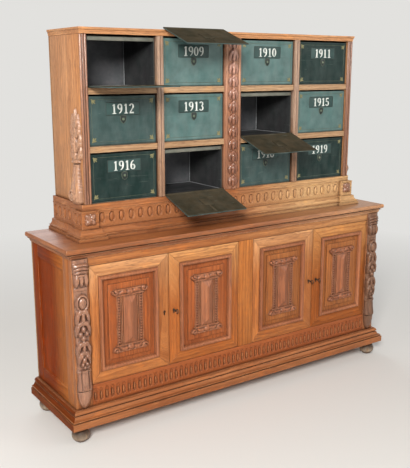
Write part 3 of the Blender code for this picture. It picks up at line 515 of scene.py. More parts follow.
def iron():
    if "handledIron" in bpy.data.materials:
        return bpy.data.materials["handledIron"]
    look = ironLook
    material, tree, shader = startMaterial("handledIron")
    place = put(tree, "TexCoord").outputs["Object"]
    wearAndPaintedLight = placeGroup(tree, wearShadeAndHighlight, {"Radius": look["edgeRadius"], "Reach": look["recessReach"]})
    mottle = limited(tree, layer(tree, place, look["mottle"]), look["mottle"])
    colour = blendColours(tree, mottle, rgb(*look["deep"]), rgb(*look["pale"]))
    rust = limited(tree, layer(tree, place, look["rustSpots"]), look["rustSpots"])
    rust = calc(tree, "MULTIPLY", rust, look["rustShare"])
    colour = blendColours(tree, rust, colour, rgb(*look["rust"]))
    tree.links.new(colour, shader.inputs["Base Color"])
    tree.links.new(spread(tree, mottle, 0.0, 1.0, *look["rough"]), shader.inputs["Roughness"])
    tree.links.new(spread(tree, rust, 0.0, look["rustShare"], *look["metallic"]), shader.inputs["Metallic"])
    bump(tree, shader, mottle, look["bumpDepth"], wearAndPaintedLight["Normal"])
    return material


# Mesh tools. Every shape is made of closed shells, in metres
grainWander = 0.09
sharpAngles = {"joinery": 32, "tin": 35, "panel": 40, "carved": 60}


def newShape():
    shape = bmesh.new()
    shape.verts.layers.float_vector.new("grainShift")
    shape.verts.layers.float.new("recess")
    shape.verts.layers.int.new("done")
    shape.faces.layers.int.new("done")
    return shape


def markNew(shape, slot=0):  # gives the newest shell its own grain, then closes the count for the next
    vertDone, faceDone = shape.verts.layers.int["done"], shape.faces.layers.int["done"]
    fresh = [v for v in shape.verts if not v[vertDone]]
    low = Vector([min(v.co[i] for v in fresh) for i in range(3)])
    high = Vector([max(v.co[i] for v in fresh) for i in range(3)])
    wander = Vector([random.uniform(-grainWander, grainWander) for _ in range(3)])
    shifts = shape.verts.layers.float_vector["grainShift"]
    for vert in fresh:
        vert[shifts] = wander - (low + high) / 2
        vert[vertDone] = 1
    for face in shape.faces:
        if not face[faceDone]:
            face.material_index = slot if face.material_index == 0 else face.material_index
            face[faceDone] = 1


def toMesh(shape, name):
    shape.verts.layers.int.remove(shape.verts.layers.int["done"])
    shape.faces.layers.int.remove(shape.faces.layers.int["done"])
    mesh = bpy.data.meshes.new(name)
    shape.to_mesh(mesh)
    shape.free()
    return mesh


def addBoard(shape, x, y, z, bevel=0.0015, slot=0):
    low, high = Vector((x[0], y[0], z[0])), Vector((x[1], y[1], z[1]))
    place = Matrix.LocRotScale((low + high) / 2, None, high - low)
    made = bmesh.ops.create_cube(shape, size=1, matrix=place)
    edges = {edge for vert in made["verts"] for edge in vert.link_edges}
    bmesh.ops.bevel(shape, geom=list(edges), offset=bevel, segments=2, profile=0.5, affect="EDGES")
    markNew(shape, slot)


# A skin over rings of points, capped at both ends unless it is a loop
def addLoft(shape, rings, slot=0, ringSlots=None, loop=False):
    rows = [[shape.verts.new(point) for point in ring] for ring in rings]
    faces = []
    for level, (row, after) in enumerate(zip(rows, rows[1:] + rows[:1] if loop else rows[1:])):
        for i in range(len(row)):
            k = (i + 1) % len(row)
            face = shape.faces.new((row[i], row[k], after[k], after[i]))
            face.material_index = ringSlots[level] if ringSlots else 0
            faces.append(face)
    if not loop:
        faces.append(shape.faces.new(list(reversed(rows[0]))))
        faces.append(shape.faces.new(rows[-1]))
    if ringSlots:
        faces[-1].material_index = ringSlots[-1]
        faces[-2].material_index = ringSlots[0]
    bmesh.ops.recalc_face_normals(shape, faces=faces)
    markNew(shape, slot)


def addTurned(shape, profile, place, steps=40, slot=0):  # profile of (radius, height), foot to top
    rings = []
    for radius, height in profile:
        ring = []
        for i in range(steps):
            turn = 2 * math.pi * i / steps
            ring.append(place @ Vector((radius * math.cos(turn), radius * math.sin(turn), height)))
        rings.append(ring)
    addLoft(shape, rings, slot)


def addTube(shape, path, radius, sides=8, closed=False, slot=0):  # a round wire along points
    points = [Vector(p) for p in path]
    turns = [2 * math.pi * j / sides for j in range(sides)]
    rings = []
    normal = None
    for i, point in enumerate(points):
        before = points[i - 1] if i or closed else point
        after = points[(i + 1) % len(points)] if i + 1 < len(points) or closed else point
        along = (after - before).normalized()
        if normal is None:
            normal = along.orthogonal().normalized()
        normal = (normal - along * normal.dot(along)).normalized()
        side = along.cross(normal)
        rings.append([point + radius * (normal * math.cos(turn) + side * math.sin(turn)) for turn in turns])
    addLoft(shape, rings, slot, loop=closed)


def makePiece(name, shape, body, materials, stands=(), sharp="joinery"):
    mesh = toMesh(shape, name)
    for material in materials:
        mesh.materials.append(material)
    mesh.shade_smooth()
    mesh.set_sharp_from_angle(angle=math.radians(sharpAngles[sharp]))
    piece = bpy.data.objects.new(name, mesh)
    scene.collection.objects.link(piece)
    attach(piece, body)
    if stands:
        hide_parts(*stands)
    return piece


def cutAway(piece, shape):  # takes a closed cutter out of a finished piece
    cutter = bpy.data.objects.new("cutter", toMesh(shape, "cutter"))
    scene.collection.objects.link(cutter)
    boolean = piece.modifiers.new("cut", "BOOLEAN")
    boolean.object = cutter
    graph = bpy.context.evaluated_depsgraph_get()
    made = bpy.data.meshes.new_from_object(piece.evaluated_get(graph), depsgraph=graph)
    piece.modifiers.clear()
    piece.data = made
    made.name = piece.name
    bpy.data.objects.remove(cutter)


def arc(start, end, bulge, steps=6):  # quarter of an oval from start to end; bulge turns it out or in
    points = []
    for i in range(steps + 1):
        turn = math.pi / 2 * i / steps
        slow, fast = 1 - math.cos(turn), math.sin(turn)
        across, up = (fast, slow) if bulge else (slow, fast)
        points.append((start[0] + (end[0] - start[0]) * across, start[1] + (end[1] - start[1]) * up))
    return points


def mouldedRings(outline, overhang, profile, bottom, height):
    # The outline runs from the back left corner round the front; its last edge, the back, stays flat
    normals = []
    for (x0, y0), (x1, y1) in zip(outline, outline[1:]):
        length = math.hypot(x1 - x0, y1 - y0)
        normals.append(((y1 - y0) / length, (x0 - x1) / length))
    still = (0.0, 0.0)
    corners = list(zip(outline, [still] + normals, normals + [still]))
    rings = []
    for share, level in profile:
        rings.append([(x + share * overhang[0] * (before[0] + after[0]),
                       y + share * overhang[1] * (before[1] + after[1]), bottom + level * height)
                      for (x, y), before, after in corners])
    return rings


# Carving tools: a grid of heights over a flat ground, raised by leaves, domes and scrolls
def reliefGrid(width, height, step):
    columns, rows = round(width / step) + 1, round(height / step) + 1
    x, z = np.meshgrid(np.linspace(-width / 2, width / 2, columns), np.linspace(0, height, rows))
    return {"x": x, "z": z, "h": np.zeros_like(x)}


def raiseTo(grid, surface):
    grid["h"] = np.maximum(grid["h"], surface)


def dome(grid, centre, radii, high, foot=0.0):
    far = ((grid["x"] - centre[0]) / radii[0]) ** 2 + ((grid["z"] - centre[1]) / radii[1]) ** 2
    raiseTo(grid, np.where(far < 1, foot + high * np.sqrt(np.clip(1 - far, 0, 1)), 0.0))


ridgeLook = {"vein": 0.22, "thinnest": 0.45}  # width of a vein, and the height kept where a ridge narrows


def ridge(grid, path, halfWidths, high, vein=0.0, foot=0.0):
    # Round-backed ridge along a path, with a half width at each point; vein sinks its middle line
    points = np.asarray(path, float)
    widest, thinnest = max(halfWidths), ridgeLook["thinnest"]
    best = np.zeros_like(grid["x"])
    for i in range(len(points) - 1):
        start, run = points[i], points[i + 1] - points[i]
        along = (grid["x"] - start[0]) * run[0] + (grid["z"] - start[1]) * run[1]
        t = np.clip(along / max(run @ run, 1e-12), 0, 1)
        away = np.hypot(grid["x"] - start[0] - t * run[0], grid["z"] - start[1] - t * run[1])
        half = np.maximum(halfWidths[i] + t * (halfWidths[i + 1] - halfWidths[i]), 1e-6)
        share = away / half
        section = np.sqrt(np.clip(1 - share ** 2, 0, 1)) - vein * np.exp(-(share / ridgeLook["vein"]) ** 2)
        level = foot + high * (thinnest + (1 - thinnest) * half / widest) * section
        best = np.maximum(best, np.where(share < 1, level, 0.0))
    return best


def carveLine(grid, path, half, deep):
    grid["h"] = np.maximum(grid["h"] - ridge(grid, path, [half] * len(path), deep), 0.0)


def curve(start, bend, end, steps):  # a bow from start to end, pulled towards bend
    points = []
    for i in range(steps + 1):
        t = i / steps
        points.append([(1 - t) ** 2 * s + 2 * t * (1 - t) * b + t * t * e
                       for s, b, e in zip(start, bend, end)])
    return points


leafLook = {"steps": 12, "stem": 0.25, "start": 0.18, "lobe": 0.28, "edge": 0.0012}


def leaf(grid, start, bend, end, half, high, foot=0.0, lobes=3, vein=0.4):
    path = curve(start, bend, end, leafLook["steps"])
    stem, begin, lobe = leafLook["stem"], leafLook["start"], leafLook["lobe"]
    widths = []
    for i in range(len(path)):
        t = i / (len(path) - 1)
        swell = stem + (1 - stem) * math.sin(math.pi * min(1, begin + (1 - begin) * t))
        wavy = 1 - lobe + lobe * abs(math.sin(lobes * math.pi * t))
        widths.append(half * swell * wavy + leafLook["edge"])
    raiseTo(grid, ridge(grid, path, widths, high, vein, foot))


scrollLook = {"steps": 18, "shrink": 0.82, "taper": 0.35}


def scroll(grid, centre, radius, turns, half, high, foot=0.0, start=0.0, hand=1):
    path, widths = [], []
    steps = int(scrollLook["steps"] * turns)
    for i in range(steps + 1):
        t = i / steps
        angle = start + hand * 2 * math.pi * turns * t
        reach = radius * (1 - scrollLook["shrink"] * t)
        path.append((centre[0] + reach * math.cos(angle), centre[1] + reach * math.sin(angle)))
        widths.append(half * (1 - scrollLook["taper"] * t))
    raiseTo(grid, ridge(grid, path, widths, high, 0.0, foot))


def hollows(h, depth, reach=4):  # how far each point lies below its surroundings, 0 to 1
    total = h
    for axis in (0, 1):
        pad = [(reach, reach) if axis == k else (0, 0) for k in (0, 1)]
        wide = np.pad(total, pad, mode="edge")
        size = total.shape[axis]
        total = sum(np.take(wide, range(k, k + size), axis) for k in range(2 * reach + 1)) / (2 * reach + 1)
    return np.clip((total - h) / depth, 0, 1)


def addRelief(shape, grid, place, sink, slot=0, depth=0.006):
    # The carved grid as a closed slab with its ground at y 0; depth is that of its deepest hollows, which
    # take dirt and painted shade
    rows, columns = grid["x"].shape
    recess = hollows(grid["h"], depth)
    heights = np.where(grid["h"] < 1e-5, -0.4 * sink, grid["h"])  # bare ground dips under the board
    recesses = shape.verts.layers.float["recess"]
    front = []
    for r in range(rows):
        line = []
        for c in range(columns):
            vert = shape.verts.new(place @ Vector((grid["x"][r, c], -heights[r, c], grid["z"][r, c])))
            vert[recesses] = recess[r, c]
            line.append(vert)
        front.append(line)
    for low, high in zip(front, front[1:]):
        for c in range(columns - 1):
            shape.faces.new((low[c], low[c + 1], high[c + 1], high[c]))
    x0, x1 = grid["x"][0, 0], grid["x"][0, -1]
    z0, z1 = grid["z"][0, 0], grid["z"][-1, 0]
    corners = ((x0, z0), (x1, z0), (x1, z1), (x0, z1))
    back = [shape.verts.new(place @ Vector((x, sink, z))) for x, z in corners]
    left, right = [line[0] for line in front], [line[-1] for line in front]
    shape.faces.new([back[0], back[1]] + front[0][::-1])
    shape.faces.new([back[1], back[2]] + right[::-1])
    shape.faces.new([back[2], back[3]] + front[-1])
    shape.faces.new([back[3], back[0]] + left)
    shape.faces.new(back[::-1])
    markNew(shape, slot)


def span(node):  # a node's reach as ((x0, x1), (y0, y1), (z0, z1))
    low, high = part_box(node)
    return [(low[i], high[i]) for i in range(3)]


def placesBetween(start, end, pitch):  # even places, as near the pitch as fits
    count = int((end - start) / pitch)
    step = (end - start) / count
    return [start + step * (i + 0.5) for i in range(count)]


def insetOutline(points, distance):  # draws a counter-clockwise outline in by a distance
    moved = []
    count = len(points)
    for i in range(count):
        before, here, after = (Vector(points[k % count]) for k in (i - 1, i, i + 1))
        first, second = (here - before).normalized(), (after - here).normalized()
        inward = Vector((-first.y, first.x)) + Vector((-second.y, second.x))
        moved.append(here + inward * (distance / max(0.2, 1 + first.dot(second))))
    return moved


def addPrism(shape, outline, front, back, bevel, slot):
    # An upright outline of (x, z) points made thick along y, its front edge eased
    steps = [(0.0, back), (0.0, front + bevel), (0.3 * bevel, front + 0.3 * bevel), (bevel, front)]
    rings = [[(p[0], y, p[1]) for p in insetOutline(outline, inset)] for inset, y in steps]
    addLoft(shape, rings, slot)


def addStud(shape, place, radii, segments=12, slot=0):  # a flattened ball, half sunk where it sits
    matrix = place @ Matrix.Diagonal((*radii, 1.0))
    bmesh.ops.create_uvsphere(shape, u_segments=segments, v_segments=segments // 2, radius=1, matrix=matrix)
    markNew(shape, slot)


def dress(node, material):
    nodes[node].data.materials.clear()
    nodes[node].data.materials.append(material)


doorFace = span("door_frame_1")[1][0]
backFace = span("base_back")[1][1]
halfBase = span("base_back")[0][1]
frameSpan = span("base_face_frame")
rackFront = span("rack_floor")[1][0]


# Base boards: moulded top and plinth, panelled sides, planked back, bun feet
def makeBaseMouldings():
    outline = [(-halfBase, backFace), (-halfBase, doorFace), (halfBase, doorFace), (halfBase, backFace)]
    # Sections from foot to top, as shares of the overhang and of the height
    nose = arc((0.8, 0.54), (1.0, 0.76), True) + arc((1.0, 0.76), (0.8, 1.0), False)[1:]
    profiles = {
        "base_top": [(0.1, 0.0), (0.1, 0.06)] + arc((0.2, 0.09), (0.62, 0.38), False)
                    + [(0.62, 0.43), (0.3, 0.45), (0.3, 0.52), (0.7, 0.53)] + nose,
        "base_plinth": [(1.0, 0.0), (1.0, 0.38), (0.96, 0.40), (0.8, 0.41), (0.8, 0.46), (0.92, 0.47)]
                       + arc((0.92, 0.5), (0.5, 0.72), True) + [(0.38, 0.73), (0.38, 0.79), (0.5, 0.8)]
                       + arc((0.5, 0.82), (0.25, 0.97), False) + [(0.25, 1.0)],
    }
    finishes = {"base_top": ("topOak", "warmOak"), "base_plinth": ("warmOak", "darkOak")}
    for node, profile in profiles.items():
        x, y, z = span(node)
        shape = newShape()
        rings = mouldedRings(outline, (x[1] - halfBase, doorFace - y[0]), profile, z[0], z[1] - z[0])
        addLoft(shape, rings)
        shape.normal_update()
        for face in shape.faces:  # the mitred returns along both sides
            if abs(face.normal.x) > max(0.2, abs(face.normal.y)):
                face.material_index = 1
        front, returns = finishes[node]
        materials = [oak(front, "X"), oak(returns, "Y")]
        makePiece(node + "_moulding", shape, "cabinet", materials, [node])


sideLook = {"stile": 0.062, "topRail": 0.060, "bottomRail": 0.072, "panelSink": 0.006, "slope": 0.012,
            "tongue": 0.004, "panelBack": 0.02, "set": 0.0015, "margin": 0.003, "field": 0.002}


def makeBaseSides():
    look = sideLook
    slope, sink, tongue = look["slope"], look["panelSink"], look["tongue"]
    # The panel from its tongue in the frame to its field, as (drawn in, sunk)
    steps = ((-tongue, look["panelBack"]), (-tongue, look["set"]), (look["margin"], look["set"]),
             (slope * 0.5, 0.5 * sink), (slope, sink), (slope + look["field"], sink))
    for node, hand in (("base_left_side", -1), ("base_right_side", 1)):
        x, y, z = span(node)
        low, high = z[0] + look["bottomRail"], z[1] - look["topRail"]
        front, back = y[0] + look["stile"], y[1] - look["stile"]
        shape = newShape()
        addBoard(shape, x, (y[0], front), z, slot=0)
        addBoard(shape, x, (back, y[1]), z, slot=2)
        addBoard(shape, x, (front, back), (z[0], low), slot=1)
        addBoard(shape, x, (front, back), (high, z[1]), slot=1)
        outer = x[1] if hand > 0 else x[0]
        rings = []
        for inset, depth in steps:
            level = outer - hand * depth
            corners = ((front + inset, low + inset), (back - inset, low + inset),
                       (back - inset, high - inset), (front + inset, high - inset))
            rings.append([(level, across, up) for across, up in corners])
        addLoft(shape, rings, slot=2)
        materials = [oak("goldenOak", "Z"), oak("sideOak", "Y"), oak("sideOak", "Z")]
        makePiece(node + "_joinery", shape, "cabinet", materials, [node])


plankLook = {"width": 0.19, "joint": 0.0008, "bevel": 0.002}


def makeBacks():
    joint = plankLook["joint"]
    for node in ("base_back", "rack_back"):
        x, y, z = span(node)
        count = round((x[1] - x[0]) / plankLook["width"])
        wide = (x[1] - x[0]) / count
        shape = newShape()
        for i in range(count):
            left = x[0] + i * wide
            addBoard(shape, (left + joint, left + wide - joint), y, z, plankLook["bevel"])
        makePiece(node + "_planks", shape, "cabinet", [oak("plainOak", "Z")], [node])


footLook = {"flat": 0.016, "steps": 44, "neck": 0.62, "middle": 0.42, "bellyFrom": -66, "bellySweep": 128,
            "bellySteps": 14, "squash": 70,
            "collar": [(0.86, 0.84), (0.84, 0.88), (0.98, 0.91), (1.02, 0.95), (0.98, 1.0)]}


def makeFeet():
    look = footLook
    for node in ("foot_front_left", "foot_front_right", "foot_back_left", "foot_back_right"):
        x, y, z = span(node)
        radius, tall = (x[1] - x[0]) / 2, z[1] - z[0]
        neck, middle = radius * look["neck"], tall * look["middle"]
        upright = middle / math.sin(math.radians(look["squash"]))
        profile = [(look["flat"], 0.0)]
        for i in range(look["bellySteps"] + 1):
            turn = math.radians(look["bellyFrom"] + look["bellySweep"] * i / look["bellySteps"])
            profile.append((radius * math.cos(turn), middle + upright * math.sin(turn)))
        profile += [(neck * across, tall * up) for across, up in look["collar"]]
        centre = Vector(((x[0] + x[1]) / 2, (y[0] + y[1]) / 2, z[0]))
        shape = newShape()
        addTurned(shape, profile, Matrix.Translation(centre), look["steps"])
        makePiece(node + "_turned", shape, "cabinet", [oak("greyOak", "Z")], [node])


# Face frame: rails, centre stile and an apron of tongued flutes
apronLook = {"gap": 0.0008, "bevel": 0.0025, "pitch": 0.029, "halfWidth": 0.0095, "halfHeight": 0.032,
             "depth": 0.006, "drop": 0.002, "tongue": (0.55, 0.62), "tongueSink": 0.7, "tongueDrop": 0.007}
scoopLook = {"over": 0.002, "steps": [(0.0, 1.0), (0.45, 0.86), (0.85, 0.6), (1.0, 0.3)]}


def stadium(halfWidth, halfHeight, points=8):  # upright slot with round ends, counter-clockwise
    straight = halfHeight - halfWidth
    outline = []
    for end, start in ((1, 0.0), (-1, math.pi)):
        for i in range(points + 1):
            turn = start + math.pi * i / points
            outline.append((halfWidth * math.cos(turn), end * straight + halfWidth * math.sin(turn)))
    return outline


def addScoop(shape, place, halfWidth, halfHeight, depth):  # cutter for one flute, its mouth at y 0
    steps = [(-scoopLook["over"], 1.0)] + [(down * depth, share) for down, share in scoopLook["steps"]]
    rings = []
    for level, share in steps:
        drawn = halfWidth * (1 - share)
        outline = stadium(halfWidth - drawn, halfHeight - drawn)
        rings.append([place @ Vector((x, level, z)) for x, z in outline])
    addLoft(shape, rings)


def makeFaceFrame():
    look = apronLook
    x, y, z = frameSpan
    low, high = span("door_frame_1")[2]
    gap, wide, tall, depth = (look[key] for key in ("gap", "halfWidth", "halfHeight", "depth"))
    stile = (span("door_frame_2")[0][1] + gap, span("door_frame_3")[0][0] - gap)
    shape = newShape()
    addBoard(shape, x, y, (high + gap, z[1]), look["bevel"], 0)
    addBoard(shape, stile, y, (low - gap, high + gap), look["bevel"], 1)
    materials = [oak("railOak", "X"), oak("goldenOak", "Z")]
    makePiece("face_frame_boards", shape, "cabinet", materials, ["base_face_frame"])
    shape = newShape()
    addBoard(shape, x, y, (z[0], low - gap))
    apron = makePiece("apron", shape, "cabinet", [oak("redOak", "X")])
    middle = (z[0] + low) / 2 - look["drop"]
    tongue = (wide * look["tongue"][0], depth, tall * look["tongue"][1])
    scoops, tongues = newShape(), newShape()
    for along in placesBetween(x[0], x[1], look["pitch"]):
        addScoop(scoops, Matrix.Translation((along, y[0], middle)), wide, tall, depth)
        lower = Matrix.Translation((along, y[0] + depth * look["tongueSink"], middle - look["tongueDrop"]))
        addStud(tongues, lower, tongue, 10)
    cutAway(apron, scoops)
    makePiece("apron_tongues", tongues, "cabinet", [oak("warmOak", "Z")])


# Corner pilasters: capital, ringed cabochon, drop of leaves and fruit, fluted block, tapering tail
pilasterLook = {
    "step": 0.002, "slim": 0.87, "sink": 0.003, "ground": 0.008, "fall": 0.45,
    # Height from the foot, half width as a share, and lift of the middle in millimetres
    "stages": [(0.0, 0.1, 6), (0.012, 0.38, 10), (0.035, 0.64, 15), (0.075, 0.86, 20), (0.126, 0.95, 23),
               (0.1265, 0.85, 7), (0.1325, 0.85, 7), (0.133, 0.98, 29), (0.148, 0.98, 29), (0.2, 0.86, 24),
               (0.25, 0.85, 20), (0.254, 0.93, 23), (0.268, 0.93, 21), (0.272, 0.9, 8), (0.795, 0.9, 8),
               (0.8, 0.92, 12), (0.814, 0.92, 12), (0.818, 0.86, 7), (0.84, 0.86, 8), (0.885, 0.94, 20),
               (0.93, 1.0, 28), (0.955, 1.0, 28), (0.97, 0.98, 23), (0.976, 1.0, 13), (1.0, 1.0, 13)],
    "ringAt": 0.718, "ring": (0.0295, 0.0345), "ringHalf": 0.0072, "ringHigh": 0.014, "ringSteps": 28,
    "cabochon": (0.0225, 0.0275), "spine": (0.29, 0.66), "spineHalf": 0.034, "spineHigh": 0.004,
    # Pairs of leaves as (top, drop, reach), buds as (middle, half width), fruit as (height, aside, radius)
    "leaves": [(0.662, 0.09, 0.033), (0.585, 0.085, 0.036), (0.45, 0.085, 0.035), (0.385, 0.08, 0.030)],
    "leafHalf": 0.0135, "leafHigh": 0.0195, "buds": [(0.61, 0.0125), (0.415, 0.0115)], "budReach": 0.05,
    "fruit": [(0.545, 0.0, 0.0145), (0.515, 0.017, 0.013), (0.487, 0.0, 0.014), (0.365, 0.0145, 0.012),
              (0.338, 0.0, 0.0145), (0.312, 0.012, 0.0105), (0.29, 0.0, 0.0095)],
    "fruitHigh": 0.021, "groove": (0.14, 0.26), "grooveAside": 0.02, "grooveHalf": 0.0035,
    "grooveDeep": 0.006, "capital": (0.886, 0.968), "bow": 5.0, "ripple": 0.0165, "rippleDeep": 0.009,
    "tips": (0.9, 0.86, 0.826), "tipAside": 0.026, "tipHigh": 0.017,
}


def pilasterGrid(width, tall):
    look = pilasterLook
    grid = reliefGrid(width, tall, look["step"])
    grid["x"] = grid["x"] / look["slim"]  # drawn at full width, then slimmed
    x, z = grid["x"], grid["z"]
    up = z / tall
    levels, halves, lifts = zip(*look["stages"])
    half = np.interp(up, levels, halves) * width / 2
    lift = np.interp(up, levels, lifts) / 1000
    share = np.clip(np.abs(x) / half, 0, 1)
    grid["h"] = np.where(np.abs(x) <= half, lift * (1 - look["fall"] * share ** 2.5), 0.0)

    ground, ringHigh, fruitHigh = look["ground"], look["ringHigh"], look["fruitHigh"]
    across, upright = look["ring"]
    middle = look["ringAt"] * tall
    turns = [2 * math.pi * i / look["ringSteps"] for i in range(look["ringSteps"] + 1)]
    ring = [(across * math.sin(turn), middle + upright * math.cos(turn)) for turn in turns]
    raiseTo(grid, ridge(grid, ring, [look["ringHalf"]] * len(ring), ringHigh, foot=ground))
    dome(grid, (0.0, middle), look["cabochon"], ringHigh, foot=ringHigh)
    spine = [(0.0, level * tall) for level in look["spine"]]
    raiseTo(grid, ridge(grid, spine, [look["spineHalf"]] * 2, look["spineHigh"], foot=ground))
    for hand in (-1, 1):
        for top, drop, reach in look["leaves"]:
            bend = (hand * reach * 0.9, (top + 0.012) * tall)
            tip = (hand * reach, (top - drop) * tall)
            leaf(grid, (0.0, top * tall), bend, tip, look["leafHalf"], look["leafHigh"], ground,
                 lobes=2, vein=0.5)
        for at, aside, radius in look["fruit"]:
            dome(grid, (hand * aside, at * tall), (radius * 1.05, radius * 1.2), fruitHigh, foot=ground)
    for at, radius in look["buds"]:
        start, bend, end = ((0, (at + reach) * tall) for reach in (look["budReach"], 0, -look["budReach"]))
        leaf(grid, start, bend, end, radius, fruitHigh, ground, lobes=3, vein=0.5)

    for hand in (-1, 1):  # grooves of the block
        groove = [(hand * look["grooveAside"], level * tall) for level in look["groove"]]
        carveLine(grid, groove, look["grooveHalf"], look["grooveDeep"])
    # Capital: bowed ripples over three hanging leaf tips
    rise = z - look["capital"][0] * tall + look["bow"] * x ** 2
    ripple = np.abs(np.sin(rise / look["ripple"] * math.pi))
    capital = (rise > 0) & (up < look["capital"][1]) & (grid["h"] > 0)
    grid["h"] = np.where(capital, grid["h"] - look["rippleDeep"] * (1 - ripple) ** 2, grid["h"])
    top, bend, end = (level * tall for level in look["tips"])
    for hand in (-1, 0, 1):
        aside = hand * look["tipAside"]
        leaf(grid, (aside * 0.9, top), (aside, bend), (aside * 1.05, end), look["leafHalf"], look["tipHigh"],
             ground, lobes=1, vein=0.5)
    grid["x"] = x * look["slim"]
    return grid


def makePilasters():
    # The right pilaster gets the darker copy of the carved finish: painted shade
    for node, finish in (("left_pilaster", "carvedOak"), ("right_pilaster", "shadedCarvedOak")):
        x, _, z = span(node)
        middle, wide, tall = (x[0] + x[1]) / 2, x[1] - x[0], z[1] - z[0]
        shape = newShape()
        addBoard(shape, x, (doorFace, frameSpan[1][1]), z, slot=1)
        place = Matrix.Translation((middle, doorFace, z[0]))
        addRelief(shape, pilasterGrid(wide, tall), place, pilasterLook["sink"])
        materials = [oak(finish, "Z"), oak("warmOak", "Z")]
        makePiece(node + "_carved", shape, "cabinet", materials, [node], "carved")


# Doors: mitred frames, bolection moulding, fielded panels and strapwork cartouches
doorLook = {"rabbet": 0.0077, "joint": 0.00015, "panelBack": 0.016, "outerEase": 0.003, "jointEase": 0.0004,
            "moulding": 0.021, "keyHole": 0.0055, "keySlot": 0.004, "slotDrop": 0.0165, "holeSteps": 18,
            "holeReach": (0.014, -0.003), "liner": 0.0011}
doorOaks = {1: ("doorOak", "redOak"), 2: ("emberOak", "redOak"), 3: ("doorOak", "amberOak"),
            4: ("umberOak", "amberOak")}
# The panel's moulding and field, as (drawn in, proud of the door)
panelSteps = [(0.0002, 0.001), (0.0012, 0.0055), (0.0032, 0.0062)]
panelSteps += arc((0.0032, 0.0062), (0.008, 0.0125), False, 5)[1:]
panelSteps += arc((0.008, 0.0125), (0.0195, 0.0005), True, 6)[1:]
panelSteps += [(0.0205, -0.0005), (0.0212, -0.0068), (0.029, -0.009), (0.0455, -0.004), (0.0462, 0.002),
               (0.048, 0.003)]
cartoucheLook = {"width": 0.196, "height": 0.336, "step": 0.0022, "sink": 0.002, "hollow": 0.0035,
                 "tablet": (0.035, 0.116), "tabletFoot": 0.005, "tabletSlope": 0.5, "tabletHigh": 0.0165,
                 "fillet": (0.0035, 0.0085), "filletHigh": 0.0045, "strip": 0.0575, "stripHalf": 0.0105,
                 "stripEdge": 0.0072, "stripHigh": 0.0058, "stripSunk": 0.0008, "bead": (0.0062, 0.0058),
                 "beadHigh": 0.0078, "beadPitch": 0.0132, "beads": 8, "strap": (0.072, 0.018),
                 "strapHigh": 0.006, "strapLine": 0.8, "lineHalf": 0.0035, "scrollOut": (0.002, 0.008),
                 "strapLeaf": [(0.020, 0.0), (0.036, 0.010), (0.054, -0.004)]}


def cartoucheGrid():
    look = cartoucheLook
    grid = reliefGrid(look["width"], look["height"], look["step"])
    grid["z"] = grid["z"] - look["height"] / 2
    x, z = grid["x"], grid["z"]
    half, tall = look["tablet"]
    edge = np.minimum(half - np.abs(x), tall - np.abs(z))  # hipped tablet with a fillet round its foot
    slope = np.minimum(edge * look["tabletSlope"], look["tabletHigh"])
    raiseTo(grid, np.where(edge > 0, look["tabletFoot"] + slope, 0.0))
    near, far = look["fillet"]
    raiseTo(grid, np.where((edge > -far) & (edge < -near), look["filletHigh"], 0.0))
    for hand in (-1, 1):  # a string of beads in a sunk strip
        away = np.abs(x - hand * look["strip"])
        strip = np.where(away > look["stripEdge"], look["stripHigh"], look["stripSunk"])
        raiseTo(grid, np.where((away < look["stripHalf"]) & (np.abs(z) < tall), strip, 0.0))
        for i in range(-look["beads"], look["beads"] + 1):
            dome(grid, (hand * look["strip"], i * look["beadPitch"]), look["bead"], look["beadHigh"])
    strapHalf, strapTall = look["strap"]
    for end in (-1, 1):
        level = end * (tall + strapTall)
        strap = (np.abs(x) < strapHalf) & (np.abs(z - level) < strapTall)
        raiseTo(grid, np.where(strap, look["strapHigh"], 0.0))
        for side in (-1, 1):
            height = level + side * strapTall * look["strapLine"]
            line = [(-strapHalf, height), (strapHalf, height)]
            raiseTo(grid, ridge(grid, line, [look["lineHalf"]] * 2, high=0.004, foot=0.0055))
        for hand in (-1, 1):
            across, up = look["scrollOut"]
            centre = (hand * (strapHalf + across), level + end * up)
            scroll(grid, centre, radius=0.0145, turns=1.2, half=0.0055, high=0.008, foot=0.006,
                   start=0.0 if hand > 0 else math.pi, hand=-hand * end)
            dome(grid, centre, (0.0062, 0.0062), high=0.013, foot=0.004)
            points = [(hand * across, level + end * up) for across, up in look["strapLeaf"]]
            leaf(grid, *points, half=0.009, high=0.009, foot=0.005)
        dome(grid, (0, level), (0.0185, 0.0135), high=0.012, foot=0.005)
    return grid


def insetEdges(points, distances):  # draws each edge of a counter-clockwise outline in by its own distance
    moved = []
    count = len(points)
    for i in range(count):
        before, here, after = (Vector(points[k % count]) for k in (i - 1, i, i + 1))
        first, second = (here - before).normalized(), (after - here).normalized()
        turn = first.x * second.y - first.y * second.x
        moved.append(here + (second * distances[i - 1] - first * distances[i]) / turn)
    return moved


def addMember(shape, outline, y, outer, slot):  # one frame member, eased along its outer edge
    ease = doorLook["outerEase"]
    widths = [ease if edge == outer else doorLook["jointEase"] for edge in range(len(outline))]
    rings = []
    for share, level in ((0.0, y[1]), (0.0, y[0] + ease), (0.3, y[0] + 0.3 * ease), (1.0, y[0])):
        drawn = insetEdges(outline, [share * width for width in widths])
        rings.append([(p[0], level, p[1]) for p in drawn])
    addLoft(shape, rings, slot)


